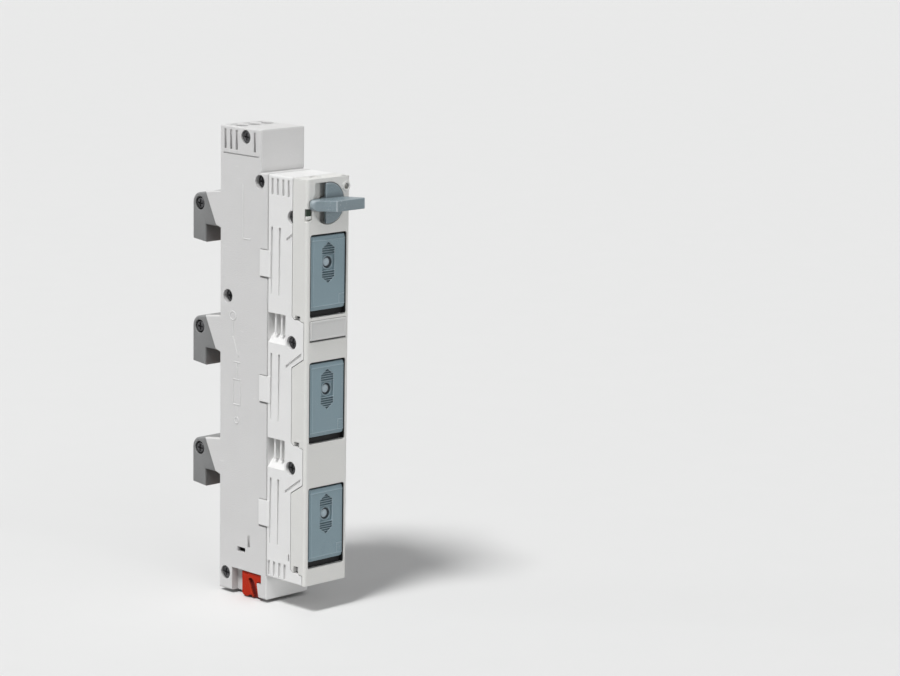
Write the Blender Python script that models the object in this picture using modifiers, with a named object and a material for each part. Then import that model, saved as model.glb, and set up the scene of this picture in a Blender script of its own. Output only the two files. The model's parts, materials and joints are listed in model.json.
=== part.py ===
"""Three-pole modular fuse holder with a rotary switch, for 60 mm busbars.

World frame: +Z up, the front faces -Y, X across the slim width, and the origin is the middle of the
copper seat on the middle busbar. Sizes below are in millimetres and drawn from the foot of the
base's rear face, in the middle of the width; an empty carries the drawing to the world frame.
"""
import math

import bmesh
import bpy
from mathutils import Matrix, Vector

MM = 0.001
GAP = 0.3               # clearance between neighbouring pieces
POLES = tuple(range(1, 4))  # pole 1 is the top one
PITCH = 60.0            # busbar pitch, which sets the pole pitch

WIDTH = 27.0
WALL = 1.8
EDGE = 0.6              # small rounding of the housing edges
SEAM_CHAMFER = 0.4      # groove where the base and the front module meet
TAB_REACH = 5.0         # snap tabs lap over the base by this much
HEAD_RISE = 20.0        # terminal head above the front module
BASE_DEPTH = 34.0       # rear face to the seam with the front module
HEAD_SETBACK = 5.0      # the head's front face lies this far behind the seam
BASE_FLOOR = 13.3       # solid foot round the slide pocket
REAR_INSET = 0.2        # the rear wall lies this far inside the side walls' edges
FOOT_CORE = 8.2         # half width of the hollow in the foot
FRONT_DEPTH = 27.0      # seam to the front face
FRONT_FOOT = 12.0

HOOD_WALL = 1.6
HOOD_PLATE = 2.2
HOOD_CORNER = 1.5
SKIRT_REACH = 9.7       # front face to the skirt's edge beside a pole
SKIRT_LIP = 1.6         # front face to the skirt's edge between two poles
TONGUE_TOP = 25.4       # below the fuse axis, where the skirt steps forward
TONGUE_DROP = 1.9       # fall of that step
TONGUE_FOOT = 45.0      # below the fuse axis, where the skirt steps back
TONGUE_SLANT = 5.0
FOOT_SKIRT = 26.6       # below the last fuse axis, where the skirt ends
FOOT_TONGUE = 6.9       # height of the foot below the end of the skirt

POLE_X = 0.3            # the openings sit slightly off the middle
WINDOW_LEFT = -11.3
WINDOW_RIGHT = 11.6
WINDOW_UP = 13.6        # opening above the fuse axis
WINDOW_DOWN = 25.4      # opening below the fuse axis
WINDOW_CORNER = 1.2
MARKER_DOWN = 1.4       # marker plate below the top opening
MARKER_HEIGHT = 10.1
PANEL_SIDE_GAP = 0.6
PANEL_TOP_GAP = 0.8
PANEL_TRAVEL = 2.8      # the cover slides down into the free slot
PANEL_THICK = 2.0
PANEL_BORDER = 1.8
PANEL_CHAMFER = 0.45
GRIP_HALF_WIDTH = 3.9
GRIP_HALF_HEIGHT = 9.6
GRIP_SHOULDER = 6.7
GRIP_DEPTH = 0.8
GRIP_RIB = 0.7
GRIP_RIB_PITCH = 1.5
GRIP_RIB_FIRST = 4.1
WINDOW_HOLE = 2.9       # radius of the sight hole on the fuse axis

FUSE_RADIUS = 7.3
CAP_LENGTH = 3.0
ARM_THICK = 1.8
ARM_HALF_WIDTH = 5.0
SADDLE_LENGTH = 4.0
SADDLE_OPEN = 5.6       # half height of the gap in the saddle ring
CARRIER_PLATE = 2.0
CARRIER_SETBACK = 0.5   # free depth between the cover and the carrier plate
CARRIER_REACH = 27.0    # arms run back this far from the front face

KNOB_UP = 14.1          # knob axis above the top opening
KNOB_MARGIN = 11.8      # knob axis below the top of the front module
KNOB_RADIUS = 9.6
KNOB_RECESS = 10.0
KNOB_RECESS_DEPTH = 4.2
KNOB_FLAT = 1.8         # chord of the disc, left of the axis
KNOB_PROUD = 0.4
HANDLE_REACH = 13.3
HANDLE_STAND = 11.0
HANDLE_THICK = 5.0
HANDLE_ROUND = 0.6
SHAFT_RADIUS = 2.6
CRANK_RADIUS = 7.8
CRANK_ANGLE = math.radians(45)
CRANK_PIN = 1.5
CRANK_THICK = 2.5
CRANK_FRONT = 19.0      # depth of the crank's front face

BAR_DEEP = 10.5         # rear face of the switch bar
BAR_THICK = 4.0
BAR_WIDTH = 3.5
BRIDGE_HEIGHT = 9.0
BRIDGE_OVERLAP = 0.5    # middle of the closed bridge above the fuse axis
BRIDGE_THICK = 0.9
PAD_HALF_HEIGHT = 5.5
PAD_THICK = 1.5
PAD_HALF_WIDTH = 4.0

CLAW_REACH = 23.6       # rear face of the claw finger behind the base
CLAW_FINGER = 9.5
CLAW_HALF_WIDTH = 10.5
CLAW_TOP = 27.9         # above the fuse axis, at the base
CLAW_FALL = 3.0
CLAW_SLOT = 9.8         # slot roof above the fuse axis
CLAW_TIP = 1.8          # finger tip above the fuse axis
CLAW_ROUND = 5.2
GUSSET_REACH = 11.0
CLAW_EYE = 3.15
CLAW_EYE_UP = 19.7
CLAW_TENON = 6.0
FOOT_THICK = 3.6        # copper foot that meets the busbar
FOOT_TOP = 7.5
FOOT_BOTTOM = -18.5

SCREW_RECESS = 3.3
SCREW_BOSS = 4.2        # boss round the head
SCREW_NECK = 2.8        # boss round the shank
SCREW_SEAT = 5.0        # depth of the recess floor below the side wall
SCREW_SHANK = 1.5
SCREW_HEAD = 2.7
SCREW_HEAD_HEIGHT = 2.4
POCKET_LOW = 39.9       # side pocket between two poles, below the fuse axis
POCKET_HIGH = 25.6
POCKET_INSET = 4.0
POCKET_RISE = 4.6

SLIDE_TRAVEL = 6.0      # towards the rear, as far as the pocket is free
POCKET_DEPTH = 3.8
POCKET_BACK = 9.3
POCKET_FRONT = 30.4
POCKET_TOP = 11.5
POCKET_STEP = 6.9       # height of the step under the slide's nose
SLIDE_FRONT = 27.0
SLIDE_BACK = POCKET_BACK + SLIDE_TRAVEL + 2 * GAP
SLIDE_SUNK = 0.7        # face of the slide below the side wall
STEM_FRONT = 23.6
STEM_DEPTH = 5.0
STEM_LOW = 6.2
STEM_HEIGHT = 3.5

STRIP = 1.0             # thickness of the load conductors
STRIP_WIDE = 3.0
STRIP_GAP = 1.8         # free room between two strips
CAGE_X = (7.9, 0.0, -7.9)
CAGE_WIDTH = 7.0
CAGE_FRONT = 12.8
CAGE_REAR = 2.3
CAGE_ROOM = 2.3         # cage top to the underside of the cover
CAGE_WALL = 0.8
COVER_HALF_WIDTH = 11.2
COVER_FRONT = 13.2
COVER_REAR = 2.2
CABLE_BORE = 3.1
CABLE_DEPTH = 9.2

SCREW_INSET = 4.3       # screw axis below an edge of the base
SCREW_IN = 5.8          # upper screw behind the seam
HEAD_SCREW_BEHIND = 1.1 # head screw's boss in front of the cages
REAR_SCREW = 5.7        # screws beside the rear wall
REAR_SCREW_DOWN = 21.8
FOOT_SCREW = 4.6
FOOT_SCREW_UP = 8.0
SCREW_UP = 22.0         # front screw above the fuse axis
SCREW_BEHIND = 0.4      # front screw behind the deep edge of the skirt

HALF = WIDTH / 2
CAVITY = HALF - WALL
HEAD_DEPTH = BASE_DEPTH - HEAD_SETBACK
SEAM = GAP / 2
FIRST_POLE = FRONT_FOOT + FOOT_TONGUE + FOOT_SKIRT
TOP_POLE = FIRST_POLE + (len(POLES) - 1) * PITCH
KNOB_Z = TOP_POLE + WINDOW_UP + KNOB_UP
FRONT_TOP = KNOB_Z + KNOB_MARGIN
BASE_HEIGHT = FRONT_TOP + HEAD_RISE
FRONT_FACE = BASE_DEPTH + FRONT_DEPTH
PLATE_BACK = FRONT_FACE - HOOD_PLATE
SKIRT_DEEP = FRONT_FACE - SKIRT_REACH
SKIRT_SHORT = FRONT_FACE - SKIRT_LIP
POCKET_END = SKIRT_DEEP - 4.7
SHELF_TOP_LOW = WINDOW_UP + 1.1
SHELF_THICK = 1.6
FUSE_FRONT = FRONT_FACE - PANEL_THICK - CARRIER_SETBACK - CARRIER_PLATE - GAP
FUSE_REAR = BAR_DEEP + BAR_THICK + 5.7
FUSE_LENGTH = FUSE_FRONT - FUSE_REAR
REAR_SEAT = GAP - REAR_INSET
BAR_STROKE = 2 * CRANK_RADIUS * math.sin(CRANK_ANGLE)
BRIDGE_UP = BAR_STROKE + BRIDGE_OVERLAP - BRIDGE_HEIGHT / 2
STRIP_TOP = FRONT_TOP + 2.0
CAGE_HEIGHT = BASE_HEIGHT - WALL - CAGE_ROOM - STRIP_TOP - GAP
MARKER_TOP = TOP_POLE - WINDOW_DOWN - MARKER_DOWN
MARKER_LOW = MARKER_TOP - MARKER_HEIGHT
BASE_SCREWS = ((CAGE_FRONT + HEAD_SCREW_BEHIND + SCREW_BOSS, BASE_HEIGHT - SCREW_INSET),
               (BASE_DEPTH - SCREW_IN, FRONT_TOP - SCREW_INSET),
               (REAR_SCREW, TOP_POLE - REAR_SCREW_DOWN), (FOOT_SCREW, FOOT_SCREW_UP))
STRIP_FRONT = BASE_DEPTH - SCREW_IN - SCREW_BOSS - 2 * GAP
STRIP_ROOM = STRIP_FRONT - REAR_SCREW - SCREW_BOSS - 3 * GAP
STRIP_DEPTH = (STRIP_ROOM - (len(POLES) - 1) * STRIP_GAP) / len(POLES)
FRONT_SCREWS = ((SKIRT_DEEP - SCREW_BEHIND, TOP_POLE + SCREW_UP - 1.1),
                (SKIRT_DEEP - SCREW_BEHIND, TOP_POLE - PITCH + SCREW_UP),
                (SKIRT_DEEP - SCREW_BEHIND, TOP_POLE - 2 * PITCH + SCREW_UP))
LEFT = -1
RIGHT = 1

PARTS = "modular_fuse_holder"
CUTTERS = "cutters"


def pole_z(pole):
    return TOP_POLE - (pole - POLES[0]) * PITCH


def clear_scene():
    for obj in list(bpy.data.objects):
        bpy.data.objects.remove(obj)
    for name in (PARTS, CUTTERS):
        collection = bpy.data.collections.new(name)
        bpy.context.scene.collection.children.link(collection)


def material(name, colour, roughness, metallic=0.0):
    mat = bpy.data.materials.new(name)
    mat.use_nodes = True
    shader = mat.node_tree.nodes["Principled BSDF"]
    shader.inputs["Base Color"].default_value = (*colour, 1.0)
    shader.inputs["Roughness"].default_value = roughness
    shader.inputs["Metallic"].default_value = metallic
    return mat


def finish(obj, name, look):
    """Name a solid as a part of the product and give it a material of its own."""
    colour, roughness, metallic = look
    obj.name = name
    obj.data.name = name
    obj.data.materials.clear()
    obj.data.materials.append(material(name, colour, roughness, metallic))
    for collection in list(obj.users_collection):
        collection.objects.unlink(obj)
    bpy.data.collections[PARTS].objects.link(obj)
    obj.data.shade_smooth()
    obj.data.set_sharp_from_angle(angle=math.radians(35))
    return obj


def as_tool(obj):
    obj.hide_render = True
    obj.display_type = "WIRE"
    return obj


def add_mesh(name, mesh, matrix=None):
    obj = bpy.data.objects.new(name, mesh)
    bpy.data.collections[CUTTERS].objects.link(obj)
    if matrix is not None:
        obj.matrix_world = matrix
    return obj


def box(name, x, y, z):
    """A block between two values on each axis."""
    bm = bmesh.new()
    bmesh.ops.create_cube(bm, size=1.0)
    spans = [Vector(sorted(span)) * MM for span in (x, y, z)]
    size = Vector([span[1] - span[0] for span in spans])
    centre = Vector([(span[0] + span[1]) / 2 for span in spans])
    bmesh.ops.scale(bm, vec=size, verts=bm.verts)
    mesh = bpy.data.meshes.new(name)
    bm.to_mesh(mesh)
    bm.free()
    return add_mesh(name, mesh, Matrix.Translation(centre))


def rod(name, radius, axis, start, end, place, sides=20):
    """A cylinder along X, Y or Z between two values; place holds its two other coordinates."""
    bm = bmesh.new()
    depth = abs(end - start) * MM
    bmesh.ops.create_cone(bm, cap_ends=True, segments=sides, radius1=radius * MM,
                          radius2=radius * MM, depth=depth)
    mesh = bpy.data.meshes.new(name)
    bm.to_mesh(mesh)
    bm.free()
    middle = (start + end) / 2
    if axis == "x":
        centre = Vector((middle, *place))
        turn = Matrix.Rotation(math.radians(90), 4, "Y")
    elif axis == "y":
        centre = Vector((place[0], middle, place[1]))
        turn = Matrix.Rotation(math.radians(90), 4, "X")
    else:
        centre = Vector((*place, middle))
        turn = Matrix.Identity(4)
    return add_mesh(name, mesh, Matrix.Translation(centre * MM) @ turn)


PLANES = {
    "x": Matrix(((0, 0, 1, 0), (1, 0, 0, 0), (0, 1, 0, 0), (0, 0, 0, 1))),
    "y": Matrix(((1, 0, 0, 0), (0, 0, -1, 0), (0, 1, 0, 0), (0, 0, 0, 1))),
    "z": Matrix.Identity(4),
}


def prism(name, points, axis, start, end):
    """A flat outline drawn across an axis and extruded between two values on it.

    Across X the points are (y, z), across Y they are (x, z) and across Z they are (x, y).
    """
    curve = bpy.data.curves.new(name, "CURVE")
    curve.dimensions = "2D"
    curve.fill_mode = "BOTH"
    curve.extrude = abs(end - start) * MM / 2
    spline = curve.splines.new("POLY")
    spline.points.add(len(points) - 1)
    for point, (u, v) in zip(spline.points, points):
        point.co = (u * MM, v * MM, 0.0, 1.0)
    spline.use_cyclic_u = True
    drawn = bpy.data.objects.new(name, curve)
    bpy.data.collections[CUTTERS].objects.link(drawn)
    offset = {"x": Vector((1, 0, 0)), "y": Vector((0, 1, 0)), "z": Vector((0, 0, 1))}[axis]
    drawn.matrix_world = Matrix.Translation(offset * (start + end) / 2 * MM) @ PLANES[axis]
    bpy.context.view_layer.update()
    mesh = bpy.data.meshes.new_from_object(drawn.evaluated_get(bpy.context.evaluated_depsgraph_get()))
    bm = bmesh.new()
    bm.from_mesh(mesh)
    bmesh.ops.remove_doubles(bm, verts=bm.verts, dist=1e-6)
    bmesh.ops.dissolve_limit(bm, angle_limit=math.radians(1), verts=bm.verts, edges=bm.edges)
    bmesh.ops.recalc_face_normals(bm, faces=bm.faces)
    bm.to_mesh(mesh)
    bm.free()
    solid = add_mesh(name, mesh, drawn.matrix_world.copy())
    bpy.data.objects.remove(drawn)
    return solid


def boolean(target, tool, operation):
    modifier = target.modifiers.new(operation.lower(), "BOOLEAN")
    modifier.operation = operation
    modifier.solver = "EXACT"
    modifier.object = as_tool(tool)
    return target


def cut(target, *tools):
    for tool in tools:
        boolean(target, tool, "DIFFERENCE")
    return target


def join(target, *tools):
    for tool in tools:
        boolean(target, tool, "UNION")
    return target


def gather(name, solids):
    """One tool made of several solids that do not touch each other."""
    bm = bmesh.new()
    for solid in solids:
        bm_part = bmesh.new()
        bm_part.from_mesh(solid.data)
        bm_part.transform(solid.matrix_world)
        mesh = bpy.data.meshes.new("piece")
        bm_part.to_mesh(mesh)
        bm_part.free()
        bm.from_mesh(mesh)
        bpy.data.meshes.remove(mesh)
        bpy.data.objects.remove(solid)
    mesh = bpy.data.meshes.new(name)
    bm.to_mesh(mesh)
    bm.free()
    return add_mesh(name, mesh)


def round_edges(obj, chosen, width, segments=2):
    """Bevel the edges whose two world end points both pass the test."""
    mesh = obj.data
    weights = mesh.attributes.new("bevel_weight_edge", "FLOAT", "EDGE")
    matrix = obj.matrix_world
    for edge in mesh.edges:
        first, second = (matrix @ mesh.vertices[i].co / MM for i in edge.vertices)
        weights.data[edge.index].value = 1.0 if chosen(first, second) else 0.0
    modifier = obj.modifiers.new("rounding", "BEVEL")
    modifier.limit_method = "WEIGHT"
    modifier.width = width * MM
    modifier.segments = segments
    return obj


def set_origin(obj, point):
    """Move the origin of a moving piece on to its joint's axis, leaving its shape where it is."""
    bpy.context.view_layer.update()
    place = Matrix.Translation(Vector(point) * MM)
    obj.data.transform(place.inverted() @ obj.matrix_world)
    obj.matrix_world = place
    return obj


def arc(u, v, radius, start, end, steps):
    angles = [math.radians(start + (end - start) * i / steps) for i in range(steps + 1)]
    return [(u + radius * math.cos(a), v + radius * math.sin(a)) for a in angles]


def rounded_rectangle(left, right, low, high, radius, steps=3):
    return (arc(right - radius, high - radius, radius, 0, 90, steps)
            + arc(left + radius, high - radius, radius, 90, 180, steps)
            + arc(left + radius, low + radius, radius, 180, 270, steps)
            + arc(right - radius, low + radius, radius, 270, 360, steps))


def ramp_slot(name, side, depth, low, high, width, deep_low, deep_high):
    """A shallow vertical slot in a side wall whose floor slopes from one end to the other."""
    outside = side * (HALF + 1.0)
    points = [(outside, low), (side * (HALF - deep_low), low),
              (side * (HALF - deep_high), high), (outside, high)]
    return prism(name, points, "y", -depth - width / 2, -depth + width / 2)


PLASTIC = ((0.78, 0.78, 0.77), 0.45, 0.0)
FRONT_PLASTIC = ((0.74, 0.74, 0.73), 0.45, 0.0)
CLAW_PLASTIC = ((0.30, 0.30, 0.30), 0.5, 0.0)
COVER_PLASTIC = ((0.17, 0.23, 0.27), 0.4, 0.0)
CARRIER_PLASTIC = ((0.10, 0.11, 0.12), 0.5, 0.0)
RED_PLASTIC = ((0.55, 0.05, 0.02), 0.4, 0.0)
WINDOW_GREEN = ((0.01, 0.05, 0.02), 0.2, 0.0)
COPPER = ((0.75, 0.45, 0.30), 0.3, 1.0)
SILVER = ((0.75, 0.75, 0.74), 0.25, 1.0)
STEEL = ((0.45, 0.45, 0.45), 0.35, 1.0)
CERAMIC = ((0.85, 0.84, 0.80), 0.3, 0.0)


def screw_bores(side, places):
    """Head recess and shank bore on the left, shank bore with a blind end on the right."""
    seat = HALF - SCREW_SEAT
    if side == RIGHT:
        return [gather("bores", [rod("bore", SCREW_SHANK + GAP, "x", -1, seat, (-depth, height), 12)
                                 for depth, height in places])]
    heads = [rod("recess", SCREW_RECESS, "x", -HALF - 1, -seat, (-depth, height), 16)
             for depth, height in places]
    shanks = [rod("bore", SCREW_SHANK + GAP, "x", -seat - 1, 1, (-depth, height), 12)
              for depth, height in places]
    return [gather("recesses", heads), gather("bores", shanks)]


def base_block(side):
    """Outer form of one half of the base: the side view with a gusset beside each claw."""
    front = -(BASE_DEPTH - SEAM)
    outline = [(-HEAD_DEPTH, BASE_HEIGHT), (-HEAD_DEPTH, FRONT_TOP), (front, FRONT_TOP), (front, 0), (0, 0)]
    for pole in reversed(POLES):
        z = pole_z(pole)
        outline += [(0, z + CLAW_SLOT + 0.3), (3.4, z + CLAW_SLOT + 1.4),
                    (GUSSET_REACH, z + CLAW_TOP - CLAW_FALL * GUSSET_REACH / CLAW_REACH),
                    (0, z + CLAW_TOP)]
    outline.append((0, BASE_HEIGHT))
    block = prism("base_block", outline, "x", side * SEAM, side * HALF)

    def outer(first, second):
        return abs(abs(first.x) - HALF) < 0.01 and abs(abs(second.x) - HALF) < 0.01

    round_edges(block, outer, EDGE)
    return cut(block, box("between_gussets", (side * (CLAW_HALF_WIDTH + GAP), -side),
                          (-REAR_INSET, GUSSET_REACH + 1), (-1, BASE_HEIGHT + 1)))


def base_cavity(side):
    outline = [(-WALL, BASE_FLOOR), (-WALL, BASE_HEIGHT - WALL), (-HEAD_DEPTH + WALL, BASE_HEIGHT - WALL),
               (-HEAD_DEPTH + WALL, FRONT_TOP - WALL), (-BASE_DEPTH - 1, FRONT_TOP - WALL),
               (-BASE_DEPTH - 1, BASE_FLOOR)]
    upper = prism("cavity", outline, "x", side * CAVITY, -side)
    foot = box("foot_cavity", (side * FOOT_CORE, -side), (-BASE_DEPTH + WALL + 0.2, -WALL - 0.2),
               (WALL, BASE_FLOOR + 1))
    return upper, foot


def tab_zone(pole):
    z = pole_z(pole)
    return z - 8.9, z + 3.5


def base_side_cuts(side):
    """Vent slots, line and tab rebates in the outer face of a base half."""
    tools = [ramp_slot("vent", side, depth, BASE_HEIGHT - 11.0, BASE_HEIGHT - 1.7, 1.5, 1.5, 0.4)
             for depth in (3.7, 7.7, 11.7, HEAD_DEPTH - 4.5)]
    tools.append(box("line", (side * (HALF - 0.5), side * (HALF + 1)), (-HEAD_DEPTH + 1.9, -2.2),
                     (BASE_HEIGHT - 13.3, BASE_HEIGHT - 12.7)))
    for pole in POLES:
        low, high = tab_zone(pole)
        tools.append(box("rebate", (side * (HALF - 1.0), side * (HALF + 1)),
                         (-BASE_DEPTH - 1, -BASE_DEPTH + TAB_REACH + GAP), (low - 1.0, high + GAP)))
    if side == LEFT:
        tools.append(box("hatch", (-HALF - 1, -CAVITY + 0.5), (-18.9, -13.3), (20.3, 22.6)))
        tools.append(ramp_slot("pointer", side, 21.5, 23.4, 29.3, 1.8, 1.4, 0.1))
    return gather("side_cuts", tools)


def base_rear_cuts(side):
    """Windows in the rear wall for the claw tenons and the copper contacts."""
    tools = []
    for pole in POLES:
        z = pole_z(pole)
        tools.append(box("tenon_window", (-CLAW_TENON - GAP, CLAW_TENON + GAP), (-WALL - 1, 1),
                         (z + 12.5 - GAP, z + 22.5 + GAP)))
        tools.append(box("contact_window", (-PAD_HALF_WIDTH - GAP, PAD_HALF_WIDTH + GAP), (-WALL - 1, 1),
                         (z - 9.5 - GAP, z - 6.5 + GAP)))
    tools.append(box("cover_window", (-COVER_HALF_WIDTH - GAP, COVER_HALF_WIDTH + GAP),
                     (-COVER_FRONT - GAP, -COVER_REAR + GAP), (BASE_HEIGHT - WALL - 1, BASE_HEIGHT + 1)))
    return gather("rear_cuts", tools)


def slide_outline(grow):
    """Face outline of the locking slide; the pocket follows it with a clearance."""
    back = -SLIDE_BACK + grow
    front = -SLIDE_FRONT - grow
    nose = -POCKET_FRONT + GAP - grow
    return back, front, nose


def pocket_cut():
    _, front, nose = slide_outline(GAP)
    outline = [(-POCKET_BACK, -1), (-POCKET_BACK, POCKET_TOP), (nose, POCKET_TOP), (nose, POCKET_STEP),
               (front, POCKET_STEP), (front - 1.5, -1)]
    return prism("pocket", outline, "x", -HALF - 1, -HALF + POCKET_DEPTH)


def base_shell(side):
    shell = base_block(side)
    cut(shell, *base_cavity(side))
    neck = HALF - SCREW_SEAT - 1.3
    bosses = [rod("boss", SCREW_BOSS, "x", side * (CAVITY + 0.5), side * neck, (-depth, height), 16)
              for depth, height in BASE_SCREWS]
    necks = [rod("boss_neck", SCREW_NECK, "x", side * (neck + 0.5), side * (SEAM + 0.1), (-depth, height), 16)
             for depth, height in BASE_SCREWS]
    join(shell, gather("bosses", bosses), gather("boss_necks", necks))
    if side == RIGHT:
        join(shell, gather("ribs", contact_ribs()))
    cut(shell, *screw_bores(side, BASE_SCREWS))
    cut(shell, base_side_cuts(side), base_rear_cuts(side))
    if side == LEFT:
        cut(shell, pocket_cut())
        cut(shell, box("stem_slot", (-HALF + POCKET_DEPTH - 1, -FOOT_CORE + 1),
                       (-STEM_FRONT - GAP, -STEM_FRONT + STEM_DEPTH + SLIDE_TRAVEL + GAP),
                       (STEM_LOW - GAP, STEM_LOW + STEM_HEIGHT + GAP)))
        return finish(shell, "base_shell_left", PLASTIC)
    return finish(shell, "base_shell_right", PLASTIC)


def contact_ribs():
    """Ribs of the right half that carry the fixed contacts."""
    ribs = []
    for pole in POLES:
        z = pole_z(pole)
        ribs.append(box("rib", (PAD_HALF_WIDTH + GAP, CAVITY + 0.5), (-18.6, -15.6), (z - 2.4, z + 2.4)))
        ribs.append(box("rib", (PAD_HALF_WIDTH + GAP, CAVITY + 0.5), (-8.4, -5.4), (z - 9.5, z - 6.5)))
    return ribs


def skirt_outline(gap):
    """Side view of the hood's skirt, which steps round the tongues of the walls behind it."""
    deep = -SKIRT_DEEP + gap
    short = -SKIRT_SHORT + gap
    points = [(-FRONT_FACE - 2, FRONT_TOP + 1), (deep, FRONT_TOP + 1)]
    for pole in POLES:
        z = pole_z(pole)
        top = z - TONGUE_TOP - gap
        if pole == POLES[-1]:
            top = z - FOOT_SKIRT - gap
        points += [(deep, top), (deep - 1.5, top - TONGUE_DROP * 0.6), (short, top - TONGUE_DROP)]
        if pole != POLES[-1]:
            low = z - TONGUE_FOOT + gap
            points += [(short, low), (deep, low - TONGUE_SLANT)]
    return points + [(short, FRONT_FOOT - 1), (-FRONT_FACE - 2, FRONT_FOOT - 1)]


def front_channel(side):
    """Side wall, roof and floor of one half of the front module, with the wall's three tongues."""
    rear = -(BASE_DEPTH + SEAM)
    corner = HALF - EDGE
    section = ([(side * SEAM, FRONT_FOOT)]
               + [(side * x, z) for x, z in arc(corner, FRONT_FOOT + EDGE, EDGE, -90, 0, 2)]
               + [(side * x, z) for x, z in arc(corner, FRONT_TOP - EDGE, EDGE, 0, 90, 2)]
               + [(side * SEAM, FRONT_TOP), (side * SEAM, FRONT_TOP - WALL), (side * CAVITY, FRONT_TOP - WALL),
                  (side * CAVITY, FRONT_FOOT + WALL), (side * SEAM, FRONT_FOOT + WALL)])
    channel = prism("front_channel", section, "y", rear, -SKIRT_SHORT + GAP)

    def rear_outer(first, second):
        outside = [abs(p.x) > CAVITY + 0.1 or abs(p.z - FRONT_TOP) < 0.01 or abs(p.z - FRONT_FOOT) < 0.01
                   for p in (first, second)]
        return all(outside) and first.y > rear - 0.01 and second.y > rear - 0.01

    round_edges(channel, rear_outer, SEAM_CHAMFER, 1)
    cut(channel, prism("skirt", skirt_outline(GAP), "x", side * (HALF + 1), -side))
    return cut(channel, box("floor_end", (side * (CAVITY - 0.05), -side), (-PLATE_BACK + GAP, -FRONT_FACE),
                            (FRONT_FOOT - 1, FRONT_FOOT + WALL + 1)))


def front_ribs(side):
    """Shelves, blocks, bearing and screw bosses of a front shell half, from the wall to the middle."""
    root = side * (CAVITY + 0.5)
    inner = side * (HALF - HOOD_WALL - GAP)
    rear = -(BASE_DEPTH + SEAM)
    front = -PLATE_BACK + GAP
    neck = -SKIRT_DEEP + GAP + 0.2
    shelf = [(root, rear - 2.2), (side * SEAM, rear - 2.2), (side * SEAM, front), (inner, front), (inner, neck),
             (root, neck)]
    shelves = [prism("shelf", shelf, "z", low, low + SHELF_THICK) for pole in POLES
               for low in (pole_z(pole) + SHELF_TOP_LOW, pole_z(pole) - WINDOW_DOWN - SHELF_THICK - 0.6)]
    block_front = -POCKET_END - 1.6
    block = [(root, block_front), (side * (HALF - POCKET_INSET - 1.5), block_front),
             (side * (HALF - POCKET_INSET - 1.5), rear + 1.2), (side * (CAVITY - GAP), rear + 1.2),
             (side * (CAVITY - GAP), rear - 0.2), (root, rear - 0.2)]
    blocks = [prism("pocket_block", block, "z", pole_z(pole) - POCKET_LOW - 3.1, pole_z(pole) - POCKET_HIGH + 1.2)
              for pole in POLES[:-1]]
    bearing = box("bearing", (root, side * (SEAM + 0.2)), (rear - 4, rear - 2),
                  (pole_z(1) + SHELF_TOP_LOW + 0.5, FRONT_TOP - 0.5))
    webs = [box("boss_root", (root, inner - side), (neck, -depth + SCREW_BOSS - 0.4),
                (height - SCREW_BOSS + 0.8, height + SCREW_BOSS - 0.8)) for depth, height in FRONT_SCREWS]
    bosses = [rod("boss", SCREW_BOSS, "x", inner, side * (SEAM + 0.1), (-depth, height), 16)
              for depth, height in FRONT_SCREWS]
    return [gather("shelves", shelves), gather("blocks", blocks + [bearing]), gather("webs", webs),
            gather("bosses", bosses)]


def pocket_tools(side):
    """Side pockets between the poles, with a sloping floor and three vent bars."""
    tools = []
    for pole in POLES[:-1]:
        low = pole_z(pole) - POCKET_LOW
        high = pole_z(pole) - POCKET_HIGH
        outline = [(side * (HALF + 1), low - POCKET_RISE / POCKET_INSET),
                   (side * (HALF - POCKET_INSET), low + POCKET_RISE), (side * (HALF - POCKET_INSET), high),
                   (side * (HALF + 1), high)]
        tools.append(prism("pocket", outline, "y", -POCKET_END, -BASE_DEPTH - SEAM - 0.5))
    return tools


def vent_bars(side):
    bars = []
    for pole in POLES[:-1]:
        z = pole_z(pole)
        for depth in (BASE_DEPTH + (POCKET_END - BASE_DEPTH) * i / 3 + 0.3 for i in (1, 2)):
            bars.append(box("bar", (side * (HALF - 1.2), side * (HALF - POCKET_INSET - 0.5)),
                            (-depth - 0.6, -depth + 0.6),
                            (z - POCKET_LOW + POCKET_RISE - 0.4, z - POCKET_HIGH + 1.0)))
    return gather("bars", bars)


def front_side_cuts(side):
    tools = []
    for i in range(4):
        depth = BASE_DEPTH + 3.1 + 3.73 * i
        tools.append(ramp_slot("vent", side, depth, FRONT_TOP - 9.3, FRONT_TOP - 1.6, 1.5, 1.5, 0.5))
        tools.append(ramp_slot("vent", side, depth - 1.1, FRONT_FOOT + 0.9, FRONT_FOOT + 8.1, 1.6, 0.9, 0.9))
    tools.append(box("slit", (min(side * (HALF - 0.9), side * (HALF + 1)), max(side * (HALF - 0.9), side * (HALF + 1))),
                     (-SKIRT_DEEP + 1.0, -SKIRT_DEEP + 1.8), (FRONT_FOOT + 10.2, FRONT_FOOT + 13.6)))
    for pole in POLES:
        z = pole_z(pole)
        for depth in (BASE_DEPTH + 2.9, BASE_DEPTH + 8.3):
            tools.append(ramp_slot("groove", side, depth, z - 16.8, z + 15.1, 1.2, 0.3, 1.0))
        rear, front = -POCKET_END - 0.3, -SKIRT_SHORT + 1.8
        slant = [(rear, z + 9.4), (rear, z + 10.7), (front, z + 18.0), (front, z + 16.7)]
        tools.append(prism("slant", slant, "x", side * (HALF - 0.8), side * (HALF + 1)))
    return gather("front_cuts", tools)


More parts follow.
